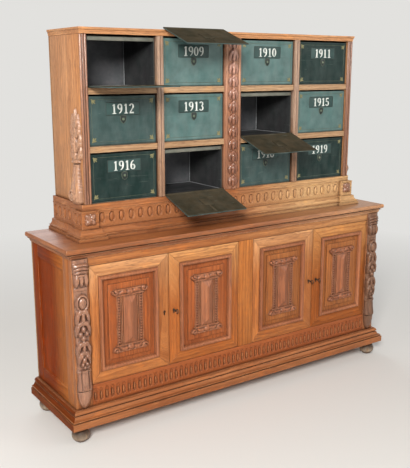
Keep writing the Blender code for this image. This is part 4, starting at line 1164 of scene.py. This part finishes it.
def makeDoors():
    look = doorLook
    cartouche = cartoucheGrid()
    for number in doorOaks:
        body = f"door_{number}"
        x, y, z = span(f"door_frame_{number}")
        panelX, _, panelZ = span(f"door_panel_{number}")
        inset = look["rabbet"]
        wx, wz = (panelX[0] + inset, panelX[1] - inset), (panelZ[0] + inset, panelZ[1] - inset)
        rails = [[(x[0], z[0]), (x[1], z[0]), (wx[1], wz[0]), (wx[0], wz[0])],
                 [(wx[0], wz[1]), (wx[1], wz[1]), (x[1], z[1]), (x[0], z[1])]]
        stiles = [[(x[0], z[0]), (wx[0], wz[0]), (wx[0], wz[1]), (x[0], z[1])],
                  [(wx[1], wz[0]), (x[1], z[0]), (x[1], z[1]), (wx[1], wz[1])]]
        shape = newShape()
        for outline, outer, slot in zip(rails + stiles, (0, 2, 3, 1), (0, 0, 1, 1)):
            addMember(shape, insetOutline(outline, look["joint"]), y, outer, slot)
        frameOak, fieldOak = doorOaks[number]
        materials = [oak(frameOak, "X"), oak(frameOak, "Z")]
        stands = [f"door_frame_{number}"]
        joinery = makePiece(f"{body}_frame_joinery", shape, body, materials, stands)
        cutAway(joinery, keyHole(number))

        middle, half = (sum(wx) / 2, sum(wz) / 2), ((wx[1] - wx[0]) / 2, (wz[1] - wz[0]) / 2)
        rings, slots = [], []
        for step, proud in [(panelSteps[0][0], -look["panelBack"])] + panelSteps:
            a, b = half[0] - step, half[1] - step
            corners = ((-a, -b), (a, -b), (a, b), (-a, b))
            rings.append([(middle[0] + across, doorFace - proud, middle[1] + up) for across, up in corners])
            slots.append(0 if step < look["moulding"] else 1)
        shape = newShape()
        addLoft(shape, rings, 0, slots)
        place = Matrix.Translation((middle[0], doorFace - panelSteps[-1][1], middle[1]))
        addRelief(shape, cartouche, place, cartoucheLook["sink"], 2, cartoucheLook["hollow"])
        materials = [oak("mouldOak", "Z"), oak(fieldOak, "Z"), oak("tabletOak", "Z")]
        stands = [f"door_panel_{number}"]
        makePiece(f"{body}_panel_carved", shape, body, materials, stands, "panel")

        spot = keyPlace(number)
        shape = newShape()
        rim = [(spot.x + a, doorFace, spot.z + b) for a, b in keyHoleOutline()]
        addTube(shape, rim, look["liner"], closed=True)
        makePiece(f"{body}_keyhole_liner", shape, body, [iron()])


def keyPlace(number):  # where a door's key turns, on the lock stile
    joint = next(j for j in frame["joints"] if j["child"] == "key_2")
    height = joint["pos_m"][2]
    x = span(f"door_frame_{number}")[0]
    inset = joint["pos_m"][0] - span("door_frame_2")[0][0]
    return Vector((x[1] - inset if number % 2 else x[0] + inset, doorFace, height))


def keyHoleOutline():
    radius, slot = doorLook["keyHole"], doorLook["keySlot"] / 2
    drop, steps = doorLook["slotDrop"], doorLook["holeSteps"]
    opening = math.degrees(math.asin(slot / radius))
    turns = [math.radians(-90 + opening + i * (360 - 2 * opening) / steps) for i in range(steps + 1)]
    return [(radius * math.cos(t), radius * math.sin(t)) for t in turns] + [(-slot, -drop), (slot, -drop)]


def keyHole(number):
    spot = keyPlace(number)
    shape = newShape()
    rings = []
    for reach in doorLook["holeReach"]:
        rings.append([(spot.x + a, doorFace + reach, spot.z + b) for a, b in keyHoleOutline()])
    addLoft(shape, rings)
    return shape


keyLook = {"shank": 0.0028, "collar": 0.0048, "bow": (0.0085, 0.0105), "wire": 0.0019, "bowSteps": 28}


def makeKeys():
    shank, collar, wire, steps = (keyLook[key] for key in ("shank", "collar", "wire", "bowSteps"))
    deep, tall = keyLook["bow"]
    turns = [2 * math.pi * i / steps for i in range(steps)]
    for number in (2, 3, 4):
        node = f"key_{number}"
        spot = keyPlace(number)
        y = span(node)[1]
        bowY = y[0] + deep + wire
        along = Matrix.Translation((spot.x, y[1], spot.z)) @ Matrix.Rotation(math.pi / 2, 4, "X")
        reach = y[1] - (bowY + deep)
        profile = [(shank, 0.0), (shank, reach * 0.52), (collar, reach * 0.56), (collar, reach * 0.6),
                   (shank * 1.1, reach * 0.64), (shank * 1.1, reach * 0.82), (collar, reach * 0.88),
                   (collar * 0.8, reach * 0.95), (shank * 0.8, reach * 1.04)]
        shape = newShape()
        addTurned(shape, profile, along, 20)
        bow = [(spot.x, bowY + deep * math.cos(turn), spot.z + tall * math.sin(turn)) for turn in turns]
        addTube(shape, bow, wire, 10, closed=True)
        makePiece(f"{node}_wrought", shape, node, [iron()], [node])


makeBaseMouldings()
makeBaseSides()
makeBacks()
makeFeet()
makeFaceFrame()
makePilasters()
makeDoors()
makeKeys()
dress("base_floor", oak("plainOak", "X"))
print("base dressed")


# Rack plinth: stepped moulding, pedestals with rosettes, friezes of tongued flutes
rackPlinthLook = {"sideProud": 0.014, "frontProud": 0.018, "pedestal": 0.085, "moulding": 0.030,
                  "gap": 0.0003, "pitch": 0.050, "pedestalPitch": 0.042, "halfWidth": 0.0155,
                  "halfHeight": 0.0265, "depth": 0.0065, "friezeAt": 0.715, "tongue": (0.7, 1.1, 0.84),
                  "tongueSink": 0.8}
rosetteLook = {"size": 0.066, "step": 0.0015, "sink": 0.002, "bud": (0.0085, 0.0085), "budHigh": 0.017,
               # Four petals and four sepals as (reach, half width, lift, turn)
               "petals": ((0.47, 0.0125, 0.013, 45), (0.4, 0.006, 0.007, 0))}


def rosetteGrid():
    look = rosetteLook
    size = look["size"]
    grid = reliefGrid(size, size, look["step"])
    grid["z"] = grid["z"] - size / 2
    for i in range(4):
        for share, half, high, offset in look["petals"]:
            turn = math.radians(90 * i + offset)
            tip = (size * share * math.cos(turn), size * share * math.sin(turn))
            leaf(grid, (0, 0), (tip[0] * 0.5, tip[1] * 0.5), tip, half, high, lobes=1, vein=0.55)
    dome(grid, (0, 0), look["bud"], look["budHigh"])
    return grid


def makeRackPlinth():
    look = rackPlinthLook
    z = span("rack_plinth")[2]
    side = span("rack_floor")[0][1]
    pedestal, rail = side + look["sideProud"], rackFront - look["gap"]
    front = rail - look["frontProud"]
    inner, pedestalBack = pedestal - look["pedestal"], front + look["pedestal"]
    left = [(-side, backFace), (-side, pedestalBack), (-pedestal, pedestalBack), (-pedestal, front),
            (-inner, front), (-inner, rail)]
    outline = left + [(-x, y) for x, y in reversed(left)]
    profile = [(1.0, 0.0), (1.0, 0.1), (0.8, 0.11), (0.8, 0.15), (0.88, 0.16)]
    profile += arc((0.86, 0.18), (0.35, 0.34), True)
    profile += [(0.35, 0.37), (0.0, 0.4), (0.0, 0.955), (0.06, 0.97), (0.06, 1.0)]
    tall = z[1] - z[0]
    shape = newShape()
    addLoft(shape, mouldedRings(outline, (look["moulding"],) * 2, profile, z[0], tall))
    materials = [oak("plinthOak", "X")]
    plinth = makePiece("rack_plinth_moulding", shape, "cabinet", materials, ["rack_plinth"])
    middle = z[0] + tall * look["friezeAt"]
    spots = [Matrix.Translation((x, rail, middle)) for x in placesBetween(-inner, inner, look["pitch"])]
    for hand in (-1, 1):
        turn = Matrix.Rotation(hand * math.pi / 2, 4, "Z")
        for y in placesBetween(pedestalBack, backFace, look["pitch"]):
            spots.append(Matrix.Translation((hand * side, y, middle)) @ turn)
        for y in placesBetween(front, pedestalBack, look["pedestalPitch"]):
            spots.append(Matrix.Translation((hand * pedestal, y, middle)) @ turn)
    wide, high, depth = (look[key] for key in ("halfWidth", "halfHeight", "depth"))
    tongue = [size * share for size, share in zip((wide, depth, high), look["tongue"])]
    scoops, tongues = newShape(), newShape()
    for spot in spots:
        addScoop(scoops, spot, wide, high, depth)
        addStud(tongues, spot @ Matrix.Translation((0, depth * look["tongueSink"], 0)), tongue, 12)
    cutAway(plinth, scoops)
    makePiece("rack_frieze_tongues", tongues, "cabinet", [oak("plinthOak", "Z")])
    shape = newShape()
    for hand in (-1, 1):
        place = Matrix.Translation((hand * (pedestal + inner) / 2, front, middle))
        addRelief(shape, rosetteGrid(), place, rosetteLook["sink"])
    makePiece("pedestal_rosettes", shape, "cabinet", [oak("carvedOak", "Z")], (), "carved")


# Rack sides: a board, a moulded front edge and a carved console
rackSideLook = {"setBack": 0.005, "bevel": 0.002, "bead": 0.3, "beadProud": 0.001, "beadRound": 0.003,
                "edgeDeep": 0.008, "quirk": 0.002, "quirkSet": 0.0015}
consoleLook = {
    "width": 0.084, "height": 0.43, "broaden": 1.28, "inset": 0.060, "lift": 0.001, "step": 0.002,
    "sink": 0.003, "hollow": 0.012, "fall": 0.75, "volute": (0, 0.034), "collar": (0, 0.190),
    "flower": (0, 0.268),
    # Swelling scrolled leg: height, half width and lift in millimetres
    "leg": [(0, 30, 24), (12, 35, 32), (40, 36, 37), (75, 32, 33), (110, 26, 27), (150, 21, 22),
            (178, 18, 19), (186, 0.1, 0)],
    "groove": [(0.012, 0.035), (0.012, 0.07), (0.0072, 0.12), (0.0052, 0.17)],
    # Pairs of leaves as (base, reach, rise)
    "leaves": [(0.195, 0.034, 0.062), (0.245, 0.032, 0.066), (0.300, 0.027, 0.062), (0.345, 0.019, 0.055)],
}


def consoleGrid(hand):
    look = consoleLook
    grid = reliefGrid(look["width"], look["height"], look["step"])
    grid["x"] = grid["x"] * hand
    x, z = grid["x"], grid["z"]
    levels, halves, lifts = (np.array(column) / 1000 for column in zip(*look["leg"]))
    half = np.interp(z, levels, halves)
    share = np.clip(np.abs(x) / half, 0, 1)
    lift = np.interp(z, levels, lifts)
    leg = lift * np.sqrt(np.clip(1 - look["fall"] * share ** 2, 0, 1))
    raiseTo(grid, np.where(np.abs(x) < half, leg, 0.0))
    for side in (-1, 1):
        carveLine(grid, [(side * aside, level) for aside, level in look["groove"]], half=0.0046, deep=0.008)
    scroll(grid, look["volute"], radius=0.027, turns=1.5, half=0.0055, high=0.009, foot=0.030,
           start=math.pi / 2)
    dome(grid, look["collar"], (0.028, 0.011), high=0.027)
    for base, reach, rise in look["leaves"]:
        for side in (-1, 1):
            aside = side * reach
            leaf(grid, (0, base), (aside, base + 0.01), (aside, base + rise), half=0.0145, high=0.018)
    leaf(grid, (0, 0.195), (0, 0.26), (0, 0.345), half=0.016, high=0.024, lobes=4)
    leaf(grid, (0, 0.31), (0, 0.36), (0, 0.422), half=0.012, high=0.018)
    dome(grid, look["flower"], (0.011, 0.014), high=0.028)
    grid["x"] = x * look["broaden"]
    if hand < 0:  # keep the columns running left to right
        for key in ("x", "z", "h"):
            grid[key] = grid[key][:, ::-1]
    return grid


def makeRackSides():
    look = rackSideLook
    for node, hand, inner in (("rack_left_side", -1, 1), ("rack_right_side", 1, 0)):
        x, y, z = span(node)
        inside, outside = x[inner], hand * span("rack_back")[0][1]
        board = tuple(sorted((inside, outside)))
        shape = newShape()
        addBoard(shape, board, (y[0] + look["setBack"], y[1]), z, look["bevel"])
        rim, edgeBack = (board[1] - board[0]) * look["bead"], y[0] + look["edgeDeep"]
        beadDeep = (y[0] - look["beadProud"], edgeBack)
        for start in (board[0], board[1] - rim):  # two beads down the front edge, a quirk between them
            addBoard(shape, (start, start + rim), beadDeep, z, look["beadRound"], 2)
        quirk = (board[0] + rim + look["quirk"], board[1] - rim - look["quirk"])
        addBoard(shape, quirk, (y[0] + look["quirkSet"], edgeBack), z, look["bevel"], 2)
        foot = Matrix.Translation((outside, y[0] + consoleLook["inset"], z[0] + consoleLook["lift"]))
        place = foot @ Matrix.Rotation(hand * math.pi / 2, 4, "Z")
        addRelief(shape, consoleGrid(-hand), place, consoleLook["sink"], 1, consoleLook["hollow"])
        materials = [oak("paleOak", "Z"), oak("consoleOak", "Z"), oak("carvedOak", "Z")]
        makePiece(node + "_carved", shape, "cabinet", materials, [node], "carved")


# Posts: reeded dividers and a centre pilaster with a chain of husks
postLook = {"reed": 0.011, "reedApart": 0.6, "reedProud": 0.0028, "reedRound": 0.0024, "fillet": 0.012,
            "filletProud": 0.004, "filletRound": 0.0028, "sink": 0.003, "stileDeep": 0.030,
            "stileRound": 0.0025, "shelfGap": 0.0005}
chainLook = {"width": 0.056, "husk": 0.0625, "step": 0.002, "bud": (0.0085, 0.0085), "high": 0.016}


def chainGrid(tall):
    look = chainLook
    wide = look["width"]
    grid = reliefGrid(wide, tall, look["step"])
    count = round(tall / look["husk"])
    pitch = tall / count
    for i in range(count):
        low = i * pitch
        for hand in (-1, 1):
            bend, tip = (hand * wide * 0.46, low + 0.9 * pitch), (hand * wide * 0.33, low + 0.28 * pitch)
            leaf(grid, (0, low + 0.95 * pitch), bend, tip, half=0.0105, high=0.012, lobes=2, vein=0.5)
        start, bend, tip = ((0, low + share * pitch) for share in (0.85, 0.6, 0.18))
        leaf(grid, start, bend, tip, half=0.01, high=look["high"], lobes=2, vein=0.5)
        for share in (0.06, 1):
            dome(grid, (0, low + share * pitch), look["bud"], look["high"])
    return grid


def makePosts():
    look = postLook
    shape = newShape()
    for node in ("rack_partition_left", "rack_partition_right"):
        x, y, z = span(node)
        middle, half = sum(x) / 2, look["reed"] / 2
        for hand in (-1, 1):
            at = middle + hand * look["reedApart"] * look["reed"]
            reed = (y[0] - look["reedProud"], y[0] + look["sink"])
            addBoard(shape, (at - half, at + half), reed, z, look["reedRound"])
        dress(node, oak("reedOak", "Z"))
    makePiece("divider_reeds", shape, "cabinet", [oak("reedOak", "Z")])

    x, y, z = span("rack_partition_centre")
    thin = span("rack_partition_left")[0]
    halfWeb = (thin[1] - thin[0]) / 2
    front = span("rack_partition_left")[1][0]
    stileBack = front + look["stileDeep"]
    halving = (rackFront + y[1]) / 2
    shape = newShape()
    addBoard(shape, x, (front, stileBack), z, look["stileRound"])
    addBoard(shape, (-halfWeb, halfWeb), (stileBack, halving), z)
    levels = [z[0]]
    for shelf in ("rack_shelf_lower", "rack_shelf_upper"):
        levels += [span(shelf)[2][0] - look["shelfGap"], span(shelf)[2][1] + look["shelfGap"]]
    levels.append(z[1])
    for low, high in zip(levels[::2], levels[1::2]):
        addBoard(shape, (-halfWeb, halfWeb), (halving, y[1]), (low, high))
    half = look["fillet"] / 2
    for hand in (-1, 1):  # raised fillets down both edges
        at = hand * (x[1] - look["fillet"])
        fillet = (front - look["filletProud"], front + look["sink"])
        addBoard(shape, (at - half, at + half), fillet, z, look["filletRound"])
    addRelief(shape, chainGrid(z[1] - z[0]), Matrix.Translation((0, front, z[0])), look["sink"], 1)
    materials, stands = [oak("postOak", "Z"), oak("huskOak", "Z")], ["rack_partition_centre"]
    makePiece("centre_post_carved", shape, "cabinet", materials, stands, "carved")


def makeRackBoards():
    boards = {"rack_floor": "plinthOak", "rack_shelf_lower": "shelfOak", "rack_shelf_upper": "shelfOak",
              "rack_top": "paleOak"}
    for node, finish in boards.items():
        dress(node, oak(finish, "X"))


# Tin boxes: shells with soldered seams, and drop fronts with label, numerals, lock and painted lines
boxLook = {"wall": 0.0025, "corner": 0.004, "seam": 0.002, "lip": 0.0063, "lipInset": 0.002,
           "lipFront": 0.0004, "lipBack": 0.006, "rim": 0.004, "hem": 0.016, "hemGap": 0.0005,
           "hemThick": 0.002, "edge": 0.0006}
boxTins = {"boxTin": 0, "innerTin": 1, "solder": 2, "highlitHemTin": 3, "litRearTin": 4}  # finish and its slot
rackRows, rackColumns = (1, 2, 3), (1, 2, 3, 4)
flapLook = {
    "corner": 0.005, "label": (0.172, 0.056), "labelDrop": 0.058, "labelCorner": 0.003, "labelInset": 0.001,
    "labelDepth": (0.0004, 0.002), "labelBevel": 0.0003, "labelFrame": 0.0013, "frameAt": 0.0006,
    "lockDrop": 0.105, "line": 0.0006, "lineAt": 0.0006, "lineInset": 0.015, "notch": 0.020,
    "digitHeight": 0.044, "digitPitch": 0.030, "digitAt": 0.0005,
    # The sheet from its hollow inner face to the edge, then round it to the outer face: (drawn in, depth)
    "inner": [(0.010, 0.0028), (0.0085, 0.0036), (0.0072, 0.0057), (0.0062, 0.006), (0.0014, 0.006)],
    "outer": [(0.0004, 0.0052), (0.0, 0.0042), (0.0, 0.0014), (0.0006, 0.0004), (0.0016, 0.0), (0.0085, 0.0),
              (0.0103, 0.0007), (0.012, 0.0009)],
}
trimTins = ("darkTin", "labelTin", "whitePaint", "lockTin", "linePaint", "giltPaint", "boxTin")
flapTins = {name: slot for slot, name in enumerate(trimTins, 1)}  # the front's own green is slot 0
lockLook = {"scale": 1.35, "depth": (-0.0012, 0.002), "bevel": 0.0008, "rim": 0.001, "rimAt": -0.0002,
            "ringAt": -0.001, "case": (0.027, 0.032), "caseDepth": (0.0024, 0.0056), "bolt": 0.006,
            "boltDepth": (0.0024, 0.0048), "boltTop": 0.0105, "boltBevel": 0.0006,
            "shield": [(-0.011, 0.010), (-0.011, -0.002), (-0.007, -0.010), (0.0, -0.015), (0.007, -0.010),
                       (0.011, -0.002), (0.011, 0.010), (0.005, 0.012), (0.0, 0.014), (-0.005, 0.012)],
            "ring": [(0.0062, -0.001), (0.0062, 0.0008), (0.005, 0.0018), (0.003, 0.0018), (0.0022, 0.0008)]}
firstYear = 1908
openTurns = {"flap_r1c1": 90, "flap_r2c3": 110, "flap_r3c2": 110, "top_flap": 110}


def roundedRect(halfWidth, low, high, radius, inset=0.0, points=4):
    outline = []
    a, b, c, r = halfWidth - inset, low + inset, high - inset, max(radius - inset, 0.0008)
    for cx, cz, start in ((a - r, b + r, -90), (a - r, c - r, 0), (r - a, c - r, 90), (r - a, b + r, 180)):
        for i in range(points + 1):
            turn = math.radians(start + 90 * i / points)
            outline.append((cx + r * math.cos(turn), cz + r * math.sin(turn)))
    return outline


def boxShape(x, y, z):
    look = boxLook
    half, tall, deep = (x[1] - x[0]) / 2, z[1] - z[0], y[1] - y[0]
    lip, wall, edge = look["lip"], look["wall"], look["edge"]
    inner, floor, rear, mouth = half - wall, wall, deep - wall, lip + look["rim"]
    # The sheet from the inside of the back, round the rim, to the outside: (drawn in, depth, finish)
    steps = ((wall, rear, "innerTin"), (wall, mouth, "innerTin"), (wall * 0.8, lip + 0.001, "highlitHemTin"),
             (wall * 0.4, lip, "highlitHemTin"), (0.0003, lip + 0.0012, "boxTin"), (0.0, mouth, "boxTin"),
             (0.0, deep - 0.002, "boxTin"), (0.0015, deep, "boxTin"))
    rings = []
    for inset, level, _ in steps:
        rings.append([(a, level, b) for a, b in roundedRect(half, 0.0, tall, look["corner"], inset)])
    shape = newShape()
    addLoft(shape, rings, 0, [boxTins[finish] for _, _, finish in steps])
    for face in shape.faces:  # the back sheet, paler than the walls: painted light
        if all(abs(vert.co.y - rear) < edge for vert in face.verts):
            face.material_index = boxTins["litRearTin"]
    lipHalf = half - look["lipInset"]
    lipDeep = (look["lipFront"], lip + look["lipBack"])
    addBoard(shape, (-lipHalf, lipHalf), lipDeep, (0.0, wall), edge, boxTins["highlitHemTin"])
    hemFront, under = lip + look["hemGap"], tall - wall  # a turned-down hem stiffens the mouth
    hem = (hemFront, hemFront + look["hemThick"])
    addBoard(shape, (-inner, inner), hem, (under - look["hem"], under), edge, boxTins["highlitHemTin"])
    seams = [[(-inner, level, floor), (inner, level, floor)] for level in (rear, mouth)]
    for side in (-inner, inner):
        seams.append([(side, rear, floor), (side, rear, under)])
        seams.append([(side, lip + 0.003, floor), (side, rear, floor)])
    for seam in seams:
        addTube(shape, seam, look["seam"], slot=boxTins["solder"])
    return shape


def makeBoxes():
    pattern = toMesh(boxShape(*span("box_r1c1")), "tin_box")
    for name in boxTins:
        pattern.materials.append(tin(name))
    pattern.shade_smooth()
    pattern.set_sharp_from_angle(angle=math.radians(sharpAngles["tin"]))
    for row in rackRows:
        for column in rackColumns:
            node = f"box_r{row}c{column}"
            x, y, z = span(node)
            piece = bpy.data.objects.new(node + "_shell", pattern)
            piece.location = (sum(x) / 2, y[0], z[0])
            scene.collection.objects.link(piece)
            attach(piece, node)
            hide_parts(node)


# Numerals as pen strokes in a cell 0.64 wide and 1 tall: lines (x, z, x, z, width), and arcs
# (x, z, radius across, radius up, from angle, to angle) that swell at their sides
penLook = {"thin": 0.075, "swell": 0.105, "layer": 0.00006, "depth": 0.0006, "cell": 0.64}
numerals = {
    "0": {"arcs": [(0.30, 0.50, 0.20, 0.44, 0, 360)]},
    "1": {"lines": [(0.33, 0.02, 0.33, 0.98, 0.17), (0.13, 0.035, 0.53, 0.035, 0.07),
                    (0.35, 0.95, 0.15, 0.82, 0.09)]},
    "2": {"arcs": [(0.29, 0.71, 0.19, 0.24, 165, -45)],
          "lines": [(0.43, 0.56, 0.11, 0.08, 0.11), (0.07, 0.07, 0.54, 0.07, 0.14)]},
    "3": {"arcs": [(0.27, 0.73, 0.18, 0.22, 155, -90), (0.27, 0.28, 0.21, 0.24, 90, -155)]},
    "4": {"lines": [(0.40, 0.02, 0.40, 0.98, 0.16), (0.37, 0.95, 0.05, 0.32, 0.08),
                    (0.03, 0.30, 0.58, 0.30, 0.09), (0.24, 0.035, 0.56, 0.035, 0.07)]},
    "5": {"arcs": [(0.28, 0.31, 0.21, 0.27, 125, -155)],
          "lines": [(0.13, 0.92, 0.52, 0.92, 0.13), (0.15, 0.93, 0.13, 0.50, 0.08)]},
    "6": {"arcs": [(0.30, 0.29, 0.19, 0.25, 0, 360), (0.42, 0.45, 0.31, 0.49, 95, 200)]},
    "7": {"lines": [(0.06, 0.92, 0.55, 0.92, 0.14), (0.51, 0.90, 0.25, 0.02, 0.15)]},
    "8": {"arcs": [(0.30, 0.73, 0.16, 0.21, 0, 360), (0.30, 0.27, 0.20, 0.23, 0, 360)]},
    "9": {"arcs": [(0.30, 0.71, 0.19, 0.25, 0, 360), (0.18, 0.55, 0.31, 0.49, 20, -85)]},
}


def penStrokes(char):  # each stroke as centre points and widths
    strokes = []
    for x0, z0, x1, z1, width in numerals[char].get("lines", []):
        strokes.append(([(x0, z0), (x1, z1)], [width, width]))
    for x, z, across, up, start, end in numerals[char].get("arcs", []):
        steps = max(8, int(abs(end - start) / 15))
        turns = [math.radians(start + (end - start) * i / steps) for i in range(steps + 1)]
        path = [(x + across * math.cos(a), z + up * math.sin(a)) for a in turns]
        strokes.append((path, [penLook["thin"] + penLook["swell"] * math.cos(a) ** 2 for a in turns]))
    return strokes


def addNumber(shape, text, centre, height, pitch, slot):
    level = 0
    across = pitch / penLook["cell"]
    for i, char in enumerate(text):
        left = centre[0] + (i - len(text) / 2) * pitch
        for path, widths in penStrokes(char):
            level += 1
            front = centre[1] - penLook["depth"] - penLook["layer"] * level
            rings = []
            for k, (x, z) in enumerate(path):
                before, after = path[max(k - 1, 0)], path[min(k + 1, len(path) - 1)]
                along = Vector(((after[0] - before[0]) * across, (after[1] - before[1]) * height))
                along.normalize()
                here = Vector((left + x * across, centre[2] + (z - 0.5) * height))
                half = widths[k] * across / 2 * Vector((-along.y, along.x))
                a, b = here + half, here - half
                corners = ((a, front), (b, front), (b, centre[1]), (a, centre[1]))
                rings.append([(p.x, y, p.y) for p, y in corners])
            addLoft(shape, rings, slot)


# Corner fans: turn of each petal with its half length and reach, and a bud
fanLook = {"petals": {15: (0.0095, 0.0115), 45: (0.0125, 0.0135), 75: (0.0095, 0.0115)}, "thick": 0.0009,
           "half": 0.0034, "bud": (0.0035, 0.0011, 0.0035), "at": 0.0005, "inset": 0.001}


def addCornerFan(shape, corner, turns, slot):  # three petals and a bud, painted in the corner
    at = fanLook["at"]
    for turn, (long, reach) in fanLook["petals"].items():
        angle = math.radians(turn)
        across, up = turns[0] * reach * math.cos(angle), turns[1] * reach * math.sin(angle)
        centre = Matrix.Translation((corner[0] + across, at, corner[1] + up))
        tilt = Matrix.Rotation(-angle if turns[0] * turns[1] > 0 else angle, 4, "Y")
        addStud(shape, centre @ tilt, (long, fanLook["thick"], fanLook["half"]), 10, slot)
    addStud(shape, Matrix.Translation((corner[0], at, corner[1])), fanLook["bud"], 10, slot)


def notchedLine(half, tall):  # painted line with hollow corners, closed
    inset, notch, level = flapLook["lineInset"], flapLook["notch"], flapLook["lineAt"]
    a, b, c = half - inset, inset, tall - inset
    path = []
    for cx, cz, start in ((a, b, 180), (a, c, 270), (-a, c, 360), (-a, b, 450)):
        for i in range(7):
            turn = math.radians(start - 90 * i / 6)
            path.append((cx + notch * math.cos(turn), level, cz + notch * math.sin(turn)))
    return path


def flapShape(half, tall, number):
    look, lock, slot = flapLook, lockLook, flapTins
    rings = []
    for inset, level in look["inner"] + look["outer"]:
        rings.append([(a, level, b) for a, b in roundedRect(half, 0.0, tall, look["corner"], inset)])
    shape = newShape()
    addLoft(shape, rings, 0, [slot["darkTin"]] * len(look["inner"]) + [0] * len(look["outer"]))
    labelX, labelZ = look["label"][0] / 2, tall - look["labelDrop"]
    label = (labelX, labelZ - look["label"][1] / 2, labelZ + look["label"][1] / 2, look["labelCorner"])
    plate = roundedRect(*label, look["labelInset"])
    addPrism(shape, plate, *look["labelDepth"], look["labelBevel"], slot["labelTin"])
    border = [(a, look["frameAt"], b) for a, b in roundedRect(*label)]
    addTube(shape, border, look["labelFrame"], closed=True, slot=slot["boxTin"])
    if number:
        middle = (0, look["digitAt"], labelZ)
        addNumber(shape, number, middle, look["digitHeight"], look["digitPitch"], slot["whitePaint"])

    lockZ = tall - look["lockDrop"]
    shield = [(a * lock["scale"], lockZ + b * lock["scale"]) for a, b in lock["shield"]]
    addPrism(shape, shield, *lock["depth"], lock["bevel"], slot["lockTin"])
    rim = [(a, lock["rimAt"], b) for a, b in shield]
    addTube(shape, rim, lock["rim"], closed=True, slot=slot["linePaint"])
    out = Matrix.Translation((0, lock["ringAt"], lockZ)) @ Matrix.Rotation(math.pi / 2, 4, "X")
    addTurned(shape, lock["ring"], out, 20, slot["linePaint"])
    (caseX, caseZ), bolt = lock["case"], lock["bolt"]
    case, boltRun = (lockZ - caseZ, lockZ + caseZ), (lockZ, tall - lock["boltTop"])
    addBoard(shape, (-caseX, caseX), lock["caseDepth"], case, lock["bevel"], slot["darkTin"])
    addBoard(shape, (-bolt, bolt), lock["boltDepth"], boltRun, lock["boltBevel"], slot["darkTin"])

    addTube(shape, notchedLine(half, tall), look["line"], 6, True, slot["linePaint"])
    inset = look["lineInset"] + fanLook["inset"]
    for cx, cz in ((-1, 0), (1, 0), (1, 1), (-1, 1)):
        corner = (cx * (half - inset), tall - inset if cz else inset)
        addCornerFan(shape, corner, (-cx, -1 if cz else 1), slot["giltPaint"])
    return shape


def makeFlaps():
    x, _, z = span("flap_r1c2")
    half, tall = (x[1] - x[0]) / 2, z[1] - z[0]
    trims = [tin(name) for name in trimTins]
    hinges = [j for j in frame["joints"] if j["type"] == "hinge" and "flap" in j["child"]]
    for joint in hinges:
        body = joint["child"]
        number = ""
        if body != "top_flap":
            row, column = int(body[-3]), int(body[-1])
            number = str(firstYear + len(rackColumns) * (row - 1) + column - 1)
        shape = flapShape(half, tall, number)
        turn = Matrix.Rotation(math.radians(openTurns.get(body, 0)), 4, "X")
        bmesh.ops.transform(shape, matrix=Matrix.Translation(joint["pos_m"]) @ turn, verts=shape.verts)
        # Painted light: some fronts take the paler green as sheen, some the darker green as shade
        green = "sheenLitTin" if body in sheenLitFronts else "shadowedTin" if body in shadowedFronts else "greenTin"
        makePiece(body + "_painted", shape, body, [tin(green)] + trims, [body], "tin")


makeRackPlinth()
makeRackSides()
makePosts()
makeRackBoards()
print("rack dressed")
makeBoxes()
makeFlaps()
print("boxes and drop fronts dressed")
